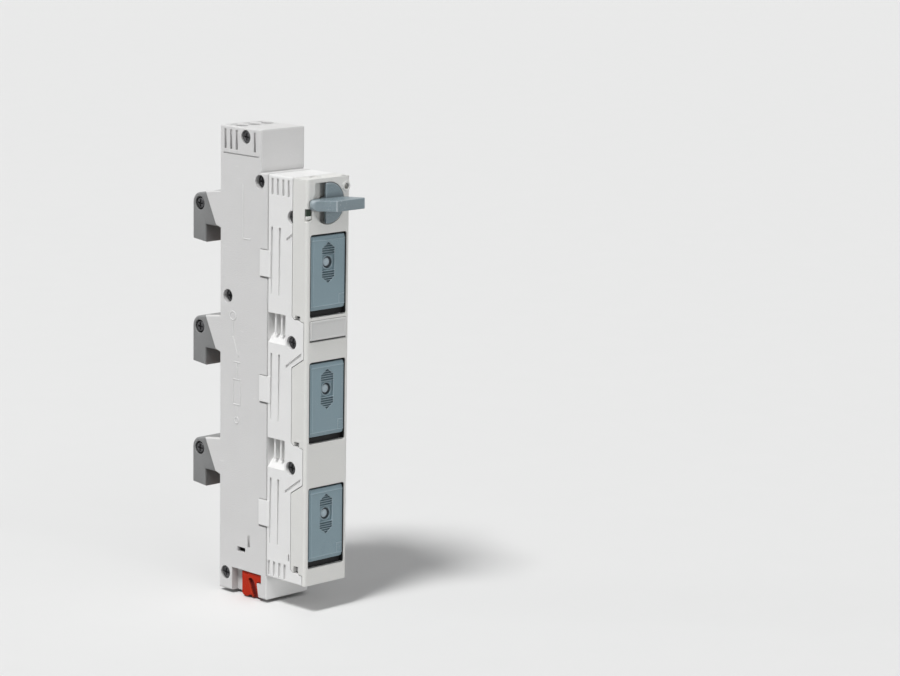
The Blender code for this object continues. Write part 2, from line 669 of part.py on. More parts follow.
def snap_tab(side, pole):
    """Snap tab of the front shell that laps over the base, a little proud of it."""
    low, high = tab_zone(pole)
    outer = side * (HALF + 0.6)
    inner = side * (HALF - 0.7)
    outline = [(inner, -BASE_DEPTH + TAB_REACH), (outer, -BASE_DEPTH + TAB_REACH), (outer, -BASE_DEPTH - 0.5),
               (side * (HALF - 0.02), -BASE_DEPTH - 4), (inner, -BASE_DEPTH - 4)]
    tab = prism("tab", outline, "z", low, high)
    return tab


def front_shell(side):
    shell = front_channel(side)
    join(shell, *front_ribs(side))
    cut(shell, gather("pockets", pocket_tools(side)))
    join(shell, vent_bars(side))
    join(shell, gather("tabs", [snap_tab(side, pole) for pole in POLES]))
    cut(shell, *screw_bores(side, FRONT_SCREWS))
    cut(shell, front_side_cuts(side))
    cut(shell, rod("bearing_bore", SHAFT_RADIUS + GAP, "y", -45, -30, (0, KNOB_Z), 16))
    return finish(shell, "front_shell_left" if side == LEFT else "front_shell_right", FRONT_PLASTIC)


def hood_profile():
    """Cross-section of the hood: a channel with rounded front corners."""
    inner = HALF - HOOD_WALL
    corner = HALF - HOOD_CORNER
    return ([(-HALF, -SKIRT_DEEP)]
            + arc(-corner, -FRONT_FACE + HOOD_CORNER, HOOD_CORNER, 180, 270, 4)
            + arc(corner, -FRONT_FACE + HOOD_CORNER, HOOD_CORNER, 270, 360, 4)
            + [(HALF, -SKIRT_DEEP), (inner, -SKIRT_DEEP), (inner, -PLATE_BACK), (-inner, -PLATE_BACK),
               (-inner, -SKIRT_DEEP)])


def hood_skirt_cuts():
    """What lies behind the skirt's stepped edge on both sides, and its latch notches."""
    outline = [point for point in skirt_outline(0.0) if point[0] > -FRONT_FACE - 1]
    outline = [(-SKIRT_DEEP + 1, FRONT_TOP + 2)] + outline + [(-SKIRT_DEEP + 1, FRONT_FOOT - 2)]
    steps = [prism("step", outline, "x", side * (HALF + 1), side * (CAVITY - GAP)) for side in (LEFT, RIGHT)]
    notches = [box("latch", (side * (HALF + 1), side * (CAVITY - GAP)), (-56.7, -53.4),
                   (pole_z(pole) - TONGUE_TOP - 3.0, pole_z(pole) - TONGUE_TOP + 0.6))
               for side in (LEFT, RIGHT) for pole in POLES]
    return gather("steps", steps), gather("latches", notches)


def front_hood():
    hood = prism("hood", hood_profile(), "z", FRONT_FOOT, FRONT_TOP)
    inner = HALF - HOOD_WALL
    join(hood, box("roof", (-inner - 0.2, inner + 0.2), (-PLATE_BACK - 0.2, -SKIRT_DEEP), (FRONT_TOP - 1.5, FRONT_TOP)))
    join(hood, box("pad", (-10.6, 10.6), (-PLATE_BACK - 0.2, -FRONT_FACE + KNOB_RECESS_DEPTH + 1.4),
                   (KNOB_Z - 10.8, FRONT_TOP - 0.5)))
    seal = (HALF - 2.6, KNOB_Z + 7.1)
    join(hood, rod("seal_rim", 2.3, "y", -FRONT_FACE - 0.4, -FRONT_FACE + 0.5, seal, 16))
    cut(hood, *hood_skirt_cuts())
    openings = []
    for pole in POLES:
        z = pole_z(pole)
        outline = rounded_rectangle(WINDOW_LEFT, WINDOW_RIGHT, z - WINDOW_DOWN, z + WINDOW_UP, WINDOW_CORNER)
        openings.append(prism("opening", outline, "y", -FRONT_FACE - 1, -PLATE_BACK + 0.5))
    openings.append(box("marker", (WINDOW_LEFT, WINDOW_RIGHT), (-FRONT_FACE - 1, -FRONT_FACE + 0.9),
                        (MARKER_LOW, MARKER_TOP)))
    cut(hood, gather("openings", openings))
    recess_floor = -FRONT_FACE + KNOB_RECESS_DEPTH
    cut(hood, rod("knob_recess", KNOB_RECESS, "y", -FRONT_FACE - 1, recess_floor, (0, KNOB_Z), 32))
    cut(hood, box("knob_corner", (-8.5, -1.8), (-FRONT_FACE - 1, recess_floor - 0.8),
                  (KNOB_Z + 3.7, KNOB_Z + 9.9)))
    cut(hood, rod("shaft_hole", SHAFT_RADIUS + GAP, "y", recess_floor - 0.5, recess_floor + 3, (0, KNOB_Z), 16))
    window = [(-HALF - 0.5, KNOB_Z - 8.0), (-10.4, KNOB_Z - 6.9), (-10.4, KNOB_Z - 1.8),
              (-HALF - 0.5, KNOB_Z - 1.8)]
    cut(hood, prism("window_notch", window, "y", -FRONT_FACE - 1, -FRONT_FACE + 1.7))
    dish = [(-3.1 + 3.2 * math.cos(t), 5.8 - FRONT_FACE + 2.9 * math.sin(t))
            for t in (math.tau * i / 20 for i in range(20))]
    cut(hood, prism("dish", dish, "z", FRONT_TOP - 0.6, FRONT_TOP + 1))
    cut(hood, rod("seal_hole", 1.5, "y", -FRONT_FACE - 1, -PLATE_BACK + 0.5, seal, 16))
    cut(hood, box("seal_slot", (seal[0] - 1.2, seal[0] + 1.6), (-FRONT_FACE + 1.0, -FRONT_FACE + 3.0),
                  (seal[1] - 2.3, FRONT_TOP + 1)))
    return finish(hood, "front_hood", FRONT_PLASTIC)


def marker_plate():
    plate = box("marker", (WINDOW_LEFT + GAP, WINDOW_RIGHT - GAP), (-FRONT_FACE - 0.3, -FRONT_FACE + 0.6),
                (MARKER_LOW + GAP, MARKER_TOP - GAP))

    def front(first, second):
        return first.y < -FRONT_FACE and second.y < -FRONT_FACE

    round_edges(plate, front, 0.25, 1)
    return finish(plate, "marker_plate", FRONT_PLASTIC)


def indicator_window():
    window = box("window", (-HALF + 0.2, -10.4 - GAP), (-FRONT_FACE + 0.5, -FRONT_FACE + 1.7 - GAP),
                 (KNOB_Z - 6.3, KNOB_Z - 1.8 - GAP))
    return finish(window, "indicator_window", WINDOW_GREEN)


def cable_cover():
    """Lid of the terminal head with three cable entries and three release slots."""
    cover = box("cover", (-COVER_HALF_WIDTH, COVER_HALF_WIDTH), (-COVER_FRONT, -COVER_REAR),
                (BASE_HEIGHT - WALL, BASE_HEIGHT))
    tools = []
    for x in CAGE_X:
        tools.append(rod("entry", CABLE_BORE, "z", BASE_HEIGHT - WALL - 1, BASE_HEIGHT + 1, (x, -CABLE_DEPTH), 16))
        tools.append(box("release", (x - 2.0, x + 2.0), (-4.4, -3.2), (BASE_HEIGHT - WALL - 1, BASE_HEIGHT + 1)))
    cut(cover, gather("entries", tools))
    return finish(cover, "cable_cover", PLASTIC)


def rotary_knob():
    """Disc with a flat, carrying a lever that leans over to the right."""
    front = -FRONT_FACE - KNOB_PROUD
    back = -FRONT_FACE + KNOB_RECESS_DEPTH - GAP
    flat = math.degrees(math.acos(KNOB_FLAT / KNOB_RADIUS))
    outline = [(u, KNOB_Z + v) for u, v in arc(0, 0, KNOB_RADIUS, -180 + flat, 180 - flat, 24)]
    disc = prism("disc", outline, "y", front, back)
    hub = rod("hub", 4.6, "y", front, back, (0, KNOB_Z), 20)
    side = [(-13.2, front - 0.4), (-12.6, front - 2.0), (-9.6, -FRONT_FACE - HANDLE_STAND),
            (HANDLE_REACH, -FRONT_FACE - HANDLE_STAND), (HANDLE_REACH, -FRONT_FACE - HANDLE_STAND + 1.6),
            (8.6, front - 0.6), (8.0, front + 0.4), (-8.0, front + 0.4), (-8.6, front - 0.6)]
    lever = prism("lever", side, "z", KNOB_Z - HANDLE_THICK / 2, KNOB_Z + HANDLE_THICK / 2)

    def long_edges(first, second):
        return abs(first.z - second.z) < 0.01

    round_edges(lever, long_edges, HANDLE_ROUND)
    join(disc, hub, lever)
    cut(disc, rod("socket", SHAFT_RADIUS + GAP, "y", back - 2.6, back + 1, (0, KNOB_Z), 16))
    set_origin(disc, (0, front, KNOB_Z))
    return finish(disc, "rotary_knob", COVER_PLASTIC)


def knob_shaft():
    front = -FRONT_FACE + KNOB_RECESS_DEPTH - GAP - 2.3
    shaft = rod("shaft", SHAFT_RADIUS, "y", front, -CRANK_FRONT + CRANK_THICK - GAP, (0, KNOB_Z), 16)
    set_origin(shaft, (0, front, KNOB_Z))
    return finish(shaft, "knob_shaft", STEEL)


def crank_pin_place():
    return CRANK_RADIUS * math.cos(CRANK_ANGLE), KNOB_Z + CRANK_RADIUS * math.sin(CRANK_ANGLE)


def switch_crank():
    crank = rod("crank", CRANK_RADIUS + 2.2, "y", -CRANK_FRONT, -CRANK_FRONT + CRANK_THICK, (0, KNOB_Z), 24)
    join(crank, rod("pin", CRANK_PIN, "y", -CRANK_FRONT + CRANK_THICK - 0.5, -BAR_DEEP - 0.2,
                    crank_pin_place(), 12))
    cut(crank, rod("bore", SHAFT_RADIUS + GAP, "y", -CRANK_FRONT - 1, -CRANK_FRONT + CRANK_THICK + 1,
                   (0, KNOB_Z), 16))
    set_origin(crank, (0, -CRANK_FRONT, KNOB_Z))
    return finish(crank, "switch_crank", CARRIER_PLASTIC)


def switch_bar():
    """Bar beside the right wall that the crank lifts and lowers, with a slotted head."""
    right = CAVITY - GAP
    left = right - BAR_WIDTH
    pin_z = crank_pin_place()[1]
    rear = -BAR_DEEP
    front = -BAR_DEEP - BAR_THICK
    bar = box("bar", (left, right), (front, rear), (pole_z(3) + BRIDGE_UP - 2, pin_z))
    join(bar, box("head", (2.4, right), (front, rear), (pin_z - 3.8, pin_z + 3.8)))
    cut(bar, box("slot", (3.5, 9.9), (front - 1, rear + 1), (pin_z - CRANK_PIN - 0.6, pin_z + CRANK_PIN + 0.6)))
    return finish(bar, "switch_bar", CARRIER_PLASTIC)


def bridge_contact(pole):
    z = pole_z(pole)
    rear = -BAR_DEEP - BAR_THICK / 2 + BRIDGE_THICK / 2
    blade = box("blade", (-PAD_HALF_WIDTH, CAVITY - BAR_WIDTH - 2 * GAP), (rear - BRIDGE_THICK, rear),
                (z + BRIDGE_UP, z + BRIDGE_UP + BRIDGE_HEIGHT))
    return finish(blade, f"bridge_contact_{pole}", SILVER)


def line_contact(pole):
    """Copper foot behind the base, with a neck through the wall and a pad for the bridge."""
    z = pole_z(pole)
    pad_front = -BAR_DEEP - BAR_THICK / 2 + BRIDGE_THICK / 2 + GAP
    pad_rear = pad_front + PAD_THICK
    seat = REAR_SEAT
    outline = [(seat + FOOT_THICK, z + FOOT_BOTTOM), (seat + FOOT_THICK, z + FOOT_TOP), (seat, z + FOOT_TOP),
               (seat, z - 6.5), (pad_rear, z - 6.5), (pad_rear, z + PAD_HALF_HEIGHT),
               (pad_front, z + PAD_HALF_HEIGHT), (pad_front, z - 9.5), (seat, z - 9.5), (seat, z + FOOT_BOTTOM)]
    contact = prism("line", outline, "x", -PAD_HALF_WIDTH, PAD_HALF_WIDTH)
    return finish(contact, f"line_contact_{pole}", COPPER)


def fuse_contact(pole):
    """Pad in front of the bridge, with a stem to the plate behind the fuse."""
    z = pole_z(pole)
    pad_rear = -BAR_DEEP - BAR_THICK / 2 - BRIDGE_THICK / 2 - GAP
    pad_front = pad_rear - PAD_THICK
    end = -FUSE_FRONT + FUSE_LENGTH + GAP
    outline = [(pad_rear, z - PAD_HALF_HEIGHT), (pad_rear, z + PAD_HALF_HEIGHT),
               (pad_front, z + PAD_HALF_HEIGHT), (pad_front, z + 2.4), (end + 1.2, z + 2.4), (end + 1.2, z + 5),
               (end, z + 5), (end, z - 5), (end + 1.2, z - 5), (end + 1.2, z - 2.4), (pad_front, z - 2.4),
               (pad_front, z - PAD_HALF_HEIGHT)]
    contact = prism("fuse_side", outline, "x", -PAD_HALF_WIDTH, PAD_HALF_WIDTH)
    return finish(contact, f"fuse_contact_{pole}", COPPER)


def load_contact(pole):
    """Spring plate beside the front cap, and the strip that leads up the left wall to a terminal."""
    z = pole_z(pole)
    wall_x = -CAVITY + GAP
    spring_x = POLE_X - FUSE_RADIUS - GAP
    front = -FUSE_FRONT + 0.5
    bend = front + 6.0
    place = POLES.index(pole)
    riser = -STRIP_FRONT + place * (STRIP_DEPTH + STRIP_GAP)
    rear = riser + STRIP_DEPTH
    cage = CAGE_X[place]
    strip = prism("strip", [(bend - 1.5, z - STRIP_WIDE), (bend - 1.5, z + STRIP_WIDE), (riser, z + STRIP_WIDE),
                            (riser, STRIP_TOP - 0.2), (rear, STRIP_TOP - 0.2), (rear, z - STRIP_WIDE)],
                  "x", wall_x, wall_x + STRIP)
    spring = prism("spring", [(wall_x + STRIP / 2, bend), (wall_x + STRIP / 2, bend - STRIP),
                              (spring_x - STRIP, bend - STRIP - 0.8), (spring_x - STRIP, front),
                              (spring_x, front), (spring_x, bend)],
                   "z", z - STRIP_WIDE + 0.1, z + STRIP_WIDE - 0.1)
    terminal = prism("terminal", [(wall_x + STRIP / 2, riser + 0.1), (cage + 2.5, riser + 0.1),
                                  (cage + 2.5, -CAGE_REAR - 1), (cage - 2.5, -CAGE_REAR - 1),
                                  (cage - 2.5, rear - 0.1), (wall_x + STRIP / 2, rear - 0.1)],
                     "z", STRIP_TOP - STRIP, STRIP_TOP)
    join(strip, spring, terminal)
    return finish(strip, f"load_contact_{pole}", COPPER)


def terminal_cage(pole):
    x = CAGE_X[POLES.index(pole)]
    low = STRIP_TOP + GAP
    cage = box("cage", (x - CAGE_WIDTH / 2, x + CAGE_WIDTH / 2), (-CAGE_FRONT, -CAGE_REAR),
               (low, low + CAGE_HEIGHT))
    cut(cage, box("inside", (x - CAGE_WIDTH / 2 + CAGE_WALL, x + CAGE_WIDTH / 2 - CAGE_WALL),
                  (-CAGE_FRONT + CAGE_WALL, -CAGE_REAR - CAGE_WALL), (low + 1.2, low + CAGE_HEIGHT + 1)))
    return finish(cage, f"terminal_cage_{pole}", STEEL)


def clamp_spring(pole):
    """Bent leaf that presses the conductor against the front wall of its cage."""
    x = CAGE_X[POLES.index(pole)]
    rear = -CAGE_REAR - CAGE_WALL - GAP
    low = STRIP_TOP + GAP + 1.2 + GAP
    top = STRIP_TOP + CAGE_HEIGHT - 1.5
    leaf = 0.6
    outline = [(rear, low), (rear, top), (rear - leaf, top), (rear - leaf, low + leaf), (rear - 1.6, low + leaf),
               (rear - 2.7, top - 4.0), (rear - 3.3, top - 4.0), (rear - 2.1, low)]
    spring = prism("leaf", outline, "x", x - CAGE_WIDTH / 2 + CAGE_WALL + GAP,
                   x + CAGE_WIDTH / 2 - CAGE_WALL - GAP)
    return finish(spring, f"clamp_spring_{pole}", STEEL)


def fuse_pieces(pole):
    """Ceramic fuse body between its two caps."""
    z = pole_z(pole)
    front = -FUSE_FRONT
    back = front + FUSE_LENGTH
    place = (POLE_X, z)
    finish(rod("cap", FUSE_RADIUS - 0.1, "y", front, front + CAP_LENGTH, place, 20),
           f"fuse_front_cap_{pole}", SILVER)
    finish(rod("tube", FUSE_RADIUS, "y", front + CAP_LENGTH + GAP, back - CAP_LENGTH - GAP, place, 20),
           f"fuse_tube_{pole}", CERAMIC)
    finish(rod("cap", FUSE_RADIUS - 0.1, "y", back - CAP_LENGTH, back, place, 20),
           f"fuse_rear_cap_{pole}", SILVER)


def fuse_carrier(pole):
    """Plate behind the cover with two arms whose saddles hold the fuse."""
    z = pole_z(pole)
    plate_front = -FRONT_FACE + PANEL_THICK + CARRIER_SETBACK
    plate_back = plate_front + CARRIER_PLATE
    plate = box("plate", (WINDOW_LEFT + 0.4, WINDOW_RIGHT - 0.4), (plate_front, plate_back),
                (z - WINDOW_DOWN + 3.5, z + WINDOW_UP - 1.2))
    inner = FUSE_RADIUS + GAP
    outer = inner + ARM_THICK + 0.2
    rear = -FRONT_FACE + CARRIER_REACH
    ring = rod("saddle", outer, "y", rear - SADDLE_LENGTH, rear, (POLE_X, z), 24)
    cut(ring, rod("seat", inner, "y", rear - SADDLE_LENGTH - 1, rear + 1, (POLE_X, z), 24))
    cut(ring, box("gate", (-HALF, HALF), (rear - SADDLE_LENGTH - 1, rear + 1),
                  (z - SADDLE_OPEN, z + SADDLE_OPEN)))
    arms = [box("arm", (POLE_X - ARM_HALF_WIDTH, POLE_X + ARM_HALF_WIDTH), (plate_back - 0.5, rear),
                (z + way * (inner + 0.1), z + way * (outer - 0.1))) for way in (-1, 1)]
    join(plate, ring, *arms)
    slots = [box("rail_slot", (POLE_X + way * 8.3 - 1 - GAP, POLE_X + way * 8.3 + 1 + GAP),
                 (plate_front - 1, plate_back + 1), (z - 14 - PANEL_TRAVEL - GAP, z + 8 + GAP))
             for way in (-1, 1)]
    slots.append(rod("sight", 4.0, "y", plate_front - 1, plate_back + 1, (POLE_X, z), 20))
    cut(plate, gather("slots", slots))
    return finish(plate, f"fuse_carrier_{pole}", CARRIER_PLASTIC)


def grip_outline(z):
    return [(POLE_X, z + GRIP_HALF_HEIGHT), (POLE_X - GRIP_HALF_WIDTH, z + GRIP_SHOULDER),
            (POLE_X - GRIP_HALF_WIDTH, z - GRIP_SHOULDER), (POLE_X, z - GRIP_HALF_HEIGHT),
            (POLE_X + GRIP_HALF_WIDTH, z - GRIP_SHOULDER), (POLE_X + GRIP_HALF_WIDTH, z + GRIP_SHOULDER)]


def carrier_panel(pole):
    """Sliding cover: chamfered at top and bottom, with a ribbed grip and a sight hole."""
    z = pole_z(pole)
    low = z - WINDOW_DOWN + PANEL_TRAVEL + GAP
    high = z + WINDOW_UP - PANEL_TOP_GAP
    left = WINDOW_LEFT + PANEL_SIDE_GAP
    right = WINDOW_RIGHT - PANEL_SIDE_GAP
    front = -FRONT_FACE + 0.1
    back = front + PANEL_THICK
    panel = prism("panel", rounded_rectangle(left, right, low, high, WINDOW_CORNER - 0.3), "y", front, back)
    chamfers = []
    for edge, way in ((high, 1), (low, -1)):
        outline = [(front - 1, edge - way * (PANEL_BORDER + 0.01)), (front, edge - way * PANEL_BORDER),
                   (front + PANEL_CHAMFER, edge + way * 0.5), (front - 1, edge + way * 0.5)]
        chamfers.append(prism("chamfer", outline, "x", left - 1, right + 1))
    cut(panel, *chamfers)
    recess = prism("grip", grip_outline(z), "y", front - 1, front + GRIP_DEPTH)
    ribs = []
    for way in (-1, 1):
        for i in range(3):
            middle = z + way * (GRIP_RIB_FIRST + i * GRIP_RIB_PITCH)
            reach = GRIP_HALF_WIDTH + 0.3
            ribs.append(box("rib", (POLE_X - reach, POLE_X + reach), (front + 0.15, front + GRIP_DEPTH + 0.3),
                            (middle - GRIP_RIB / 2, middle + GRIP_RIB / 2)))
    cut(panel, recess)
    join(panel, *ribs)
    join(panel, *[box("rail", (POLE_X + way * 8.3 - 1, POLE_X + way * 8.3 + 1), (back - 0.3, back + 1.6),
                      (z - 14, z + 8)) for way in (-1, 1)])
    cut(panel, rod("sight", WINDOW_HOLE, "y", front - 1, back + 1, (POLE_X, z), 20))
    return finish(panel, f"carrier_panel_{pole}", COVER_PLASTIC)


def claw_outline(z):
    """Side view of a claw: a sloping back, a round heel, a finger and the busbar slot."""
    heel_y = CLAW_REACH - CLAW_ROUND
    heel_z = z + CLAW_EYE_UP
    inner = CLAW_REACH - CLAW_FINGER
    return ([(REAR_SEAT, z + CLAW_SLOT), (inner, z + CLAW_SLOT), (inner, z + CLAW_TIP - 0.5),
             (CLAW_REACH, z + CLAW_TIP + 0.4)]
            + arc(heel_y, heel_z, CLAW_ROUND, 0, 84, 5)
            + [(REAR_SEAT, z + CLAW_TOP)])


def busbar_claw(pole):
    """Hook over the busbar with a tenon that locks into the rear wall of the base."""
    z = pole_z(pole)
    claw = prism("claw", claw_outline(z), "x", -CLAW_HALF_WIDTH, CLAW_HALF_WIDTH)
    join(claw, box("tenon", (-CLAW_TENON, CLAW_TENON), (-WALL - GAP - 1.2, REAR_SEAT + 1), (z + 12.5, z + 22.5)))
    eye = (CLAW_REACH - CLAW_ROUND, z + CLAW_EYE_UP)
    cut(claw, rod("eye", CLAW_EYE, "x", -CLAW_HALF_WIDTH - 1, -CLAW_HALF_WIDTH + 3.5, eye, 16))
    cut(claw, rod("eye_bore", SCREW_SHANK + GAP, "x", -CLAW_HALF_WIDTH + 3, CLAW_HALF_WIDTH - 2, eye, 12))
    return finish(claw, f"busbar_claw_{pole}", CLAW_PLASTIC)


def screw(name, head_x, tip_x, place):
    head = rod("head", SCREW_HEAD, "x", head_x, head_x + SCREW_HEAD_HEIGHT, place, 16)
    join(head, rod("shank", SCREW_SHANK, "x", head_x + SCREW_HEAD_HEIGHT - 0.5, tip_x, place, 12))
    cut(head, box("drive", (head_x - 1, head_x + 1.0), (place[0] - 0.5, place[0] + 0.5),
                  (place[1] - 1.9, place[1] + 1.9)))
    return finish(head, name, STEEL)


def screws():
    seat = -HALF + SCREW_SEAT - GAP
    for i, (depth, height) in enumerate(BASE_SCREWS, start=1):
        screw(f"base_screw_{i}", seat - SCREW_HEAD_HEIGHT, HALF - SCREW_SEAT - GAP, (-depth, height))
    for i, (depth, height) in enumerate(FRONT_SCREWS, start=1):
        screw(f"front_screw_{i}", seat - SCREW_HEAD_HEIGHT, HALF - SCREW_SEAT - GAP, (-depth, height))
    for pole in POLES:
        place = (CLAW_REACH - CLAW_ROUND, pole_z(pole) + CLAW_EYE_UP)
        screw(f"claw_screw_{pole}", -CLAW_HALF_WIDTH + 3.5 - GAP - SCREW_HEAD_HEIGHT,
              CLAW_HALF_WIDTH - 2 - GAP, place)


def locking_slide():
    """Red slide at the foot: a stepped face with a slanted groove and a scalloped lower edge."""
    back, front, nose = slide_outline(0.0)
    lobes = ([(back, 1.0)] + arc(back - 2.6, 1.2, 2.6, 0, -90, 3)[1:]
             + [(back - 5.2, -0.3), (back - 6.6, -0.3)] + arc(front + 2.2, 1.0, 2.4, -100, -10, 3))
    under = POCKET_STEP + GAP
    outline = lobes + [(front, under), (nose, under), (nose, POCKET_TOP - GAP), (back, POCKET_TOP - GAP)]
    outer = -HALF + SLIDE_SUNK
    inner = -HALF + POCKET_DEPTH - GAP
    slide = prism("slide", outline, "x", outer, inner)
    groove = [(back - 4.3, under + 0.4), (back - 6.9, under + 0.4), (front + 0.6, 0.6), (front + 3.0, -0.2)]
    cut(slide, prism("groove", groove, "x", outer - 1, outer + 1.2))
    stem_rear = -STEM_FRONT + STEM_DEPTH
    stem_top = STEM_LOW + STEM_HEIGHT
    join(slide, box("stem", (inner - 0.5, -FOOT_CORE + 0.6), (-STEM_FRONT, stem_rear), (STEM_LOW, stem_top)))
    join(slide, box("stem_head", (-FOOT_CORE + GAP, -FOOT_CORE + 1.8), (-STEM_FRONT - 2, stem_rear + 2),
                    (STEM_LOW, stem_top + 0.7)))
    return finish(slide, "locking_slide", RED_PLASTIC)


def seat_on_busbar():
    """Carry the whole drawing so that the middle copper seat's centre is the world's origin."""
    frame = bpy.data.objects.new("busbar_frame", None)
    bpy.context.scene.collection.objects.link(frame)
    for obj in bpy.context.scene.objects:
        if obj.type == "MESH":
            obj.parent = frame
    middle = POLES[len(POLES) // 2]
    seat = (0, REAR_SEAT + FOOT_THICK, pole_z(middle) + (FOOT_TOP + FOOT_BOTTOM) / 2)
    frame.location = -Vector(seat) * MM


def build():
    clear_scene()
    for side in (LEFT, RIGHT):
        base_shell(side)
        front_shell(side)
    front_hood()
    cable_cover()
    marker_plate()
    indicator_window()
    rotary_knob()
    knob_shaft()
    switch_crank()
    switch_bar()
    locking_slide()
    screws()
    for pole in POLES:
        bridge_contact(pole)
        line_contact(pole)
        fuse_contact(pole)
        load_contact(pole)
        terminal_cage(pole)
        clamp_spring(pole)
        fuse_pieces(pole)
        fuse_carrier(pole)
        carrier_panel(pole)
        busbar_claw(pole)
    seat_on_busbar()


build()
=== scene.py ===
# %% [markdown]
# # Dressing a modular fuse holder
# The real object is a slim switch that hangs on three busbars: a pale moulded housing, a hood with
# three blue-grey covers and a turning handle, grey claws at the back and a small red slide.
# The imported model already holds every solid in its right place. It is loaded as a fixed frame, and
# this lesson adds what a drawing lacks: soft moulded edges, ribs, lenses, grain, light and a
# camera.

# %% Load the frame
import json
import math

import bmesh
import bpy
import numpy as np
from mathutils import Matrix, Vector


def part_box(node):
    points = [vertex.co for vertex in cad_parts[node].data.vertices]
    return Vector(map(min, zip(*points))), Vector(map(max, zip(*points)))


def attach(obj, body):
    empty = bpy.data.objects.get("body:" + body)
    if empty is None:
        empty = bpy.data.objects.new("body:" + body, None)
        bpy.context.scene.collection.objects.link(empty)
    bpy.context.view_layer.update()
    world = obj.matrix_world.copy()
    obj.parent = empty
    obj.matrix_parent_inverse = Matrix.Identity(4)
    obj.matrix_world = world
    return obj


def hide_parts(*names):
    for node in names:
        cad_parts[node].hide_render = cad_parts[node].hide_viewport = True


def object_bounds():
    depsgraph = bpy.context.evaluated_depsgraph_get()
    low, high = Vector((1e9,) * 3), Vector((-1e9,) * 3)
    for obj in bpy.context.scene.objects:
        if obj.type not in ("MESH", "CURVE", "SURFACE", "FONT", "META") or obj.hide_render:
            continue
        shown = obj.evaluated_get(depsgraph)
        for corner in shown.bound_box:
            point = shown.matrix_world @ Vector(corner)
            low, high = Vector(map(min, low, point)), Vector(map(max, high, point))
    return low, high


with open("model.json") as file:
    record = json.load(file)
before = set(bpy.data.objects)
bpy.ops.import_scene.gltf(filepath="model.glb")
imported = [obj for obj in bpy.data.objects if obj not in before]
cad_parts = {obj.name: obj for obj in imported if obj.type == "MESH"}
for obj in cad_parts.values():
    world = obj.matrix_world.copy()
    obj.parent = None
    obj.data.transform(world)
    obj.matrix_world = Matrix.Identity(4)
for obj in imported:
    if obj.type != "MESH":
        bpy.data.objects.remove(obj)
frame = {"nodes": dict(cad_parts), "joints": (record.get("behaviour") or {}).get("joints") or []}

cad_low, cad_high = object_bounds()
print("CAD box", [round(v, 4) for v in cad_low], [round(v, 4) for v in cad_high])

# %% [markdown]
# ## Camera
# A product picture of a slim object is taken with a long lens, so that upright edges stay almost
# parallel. The camera could be aimed with a constraint, but a matrix made of three measured
# directions keeps its small roll too.

# %% The camera
MM = 0.001                 # the frame is in metres, the sizes below are in millimetres
FRAME_WIDE = 900           # picture width in pixels
SENSOR = 36.0
FOCAL_PIXELS = 3059.0      # focal length in pixels of that width
CAMERA_PLACE = (-0.95334, -1.09370, 0.29556)
LOOK = Vector((0.69659, 0.69302, -0.18572)).normalized()
UPWARD = Vector((0.11974, 0.14293, 0.98246))


def place_camera():
    """The matrix's columns are the camera's right, its up and the direction behind it."""
    data = bpy.data.cameras.new("view_camera")
    data.sensor_width = SENSOR
    data.lens = FOCAL_PIXELS * SENSOR / FRAME_WIDE
    data.clip_start, data.clip_end = 0.05, 60.0
    camera = bpy.data.objects.new("view_camera", data)
    bpy.context.scene.collection.objects.link(camera)
    right = LOOK.cross(UPWARD).normalized()
    upward = right.cross(LOOK)
    turn = Matrix((right, upward, -LOOK)).transposed().to_4x4()
    camera.matrix_world = Matrix.Translation(CAMERA_PLACE) @ turn
    bpy.context.scene.camera = camera
    print("lens", round(data.lens, 1), "mm")


place_camera()

# %% [markdown]
# ## Light
# The studio light comes softly from above on the left, so the roof is brightest, the long side wall
# comes next and the front lies in half shade. Soft suns light everything alike, however far away,
# so the pale floor stays even. Area lamps would do too, but they fade with distance. One long
# softbox behind the object adds a faint sheen to the side wall. The background is pale by its own
# colour, which only some rays see, so the lamps can stay at a plain level.

# %% Lamps and world
BACKDROP = (0.85, 0.85, 0.845)     # what the camera and shiny surfaces see behind the floor
SKY, SKY_LEVEL = (0.97, 0.985, 1.0), 0.25


def aim(lamp, towards):
    """A lamp shines along its own -Z."""
    lamp.rotation_mode = "QUATERNION"
    lamp.rotation_quaternion = Vector(towards).to_track_quat("-Z", "Y")


def soft_sun(name, light_from, strength, width_degrees):
    """Light from a direction; the wider the sun, the softer its shadow."""
    data = bpy.data.lights.new(name, "SUN")
    data.energy = strength
    data.angle = math.radians(width_degrees)
    lamp = bpy.data.objects.new(name, data)
    bpy.context.scene.collection.objects.link(lamp)
    aim(lamp, -Vector(light_from))
    return lamp


def softbox(name, place, target, wide, high, watts):
    """A glowing rectangle, sizes and places in metres."""
    data = bpy.data.lights.new(name, "AREA")
    data.shape, data.size, data.size_y, data.energy = "RECTANGLE", wide, high, watts
    lamp = bpy.data.objects.new(name, data)
    bpy.context.scene.collection.objects.link(lamp)
    lamp.location = place
    aim(lamp, Vector(target) - Vector(place))


def background_rays(tree):
    """1 for rays that come from the camera, from a shiny surface or through glass: these see the
    pale background, and all others see the plain light."""
    seen = tree.nodes.new("ShaderNodeLightPath")
    chosen = seen.outputs["Is Camera Ray"]
    for ray in ("Is Glossy Ray", "Is Transmission Ray"):
        wider = tree.nodes.new("ShaderNodeMath")
        wider.operation = "MAXIMUM"
        tree.links.new(chosen, wider.inputs[0])
        tree.links.new(seen.outputs[ray], wider.inputs[1])
        chosen = wider.outputs["Value"]
    return chosen


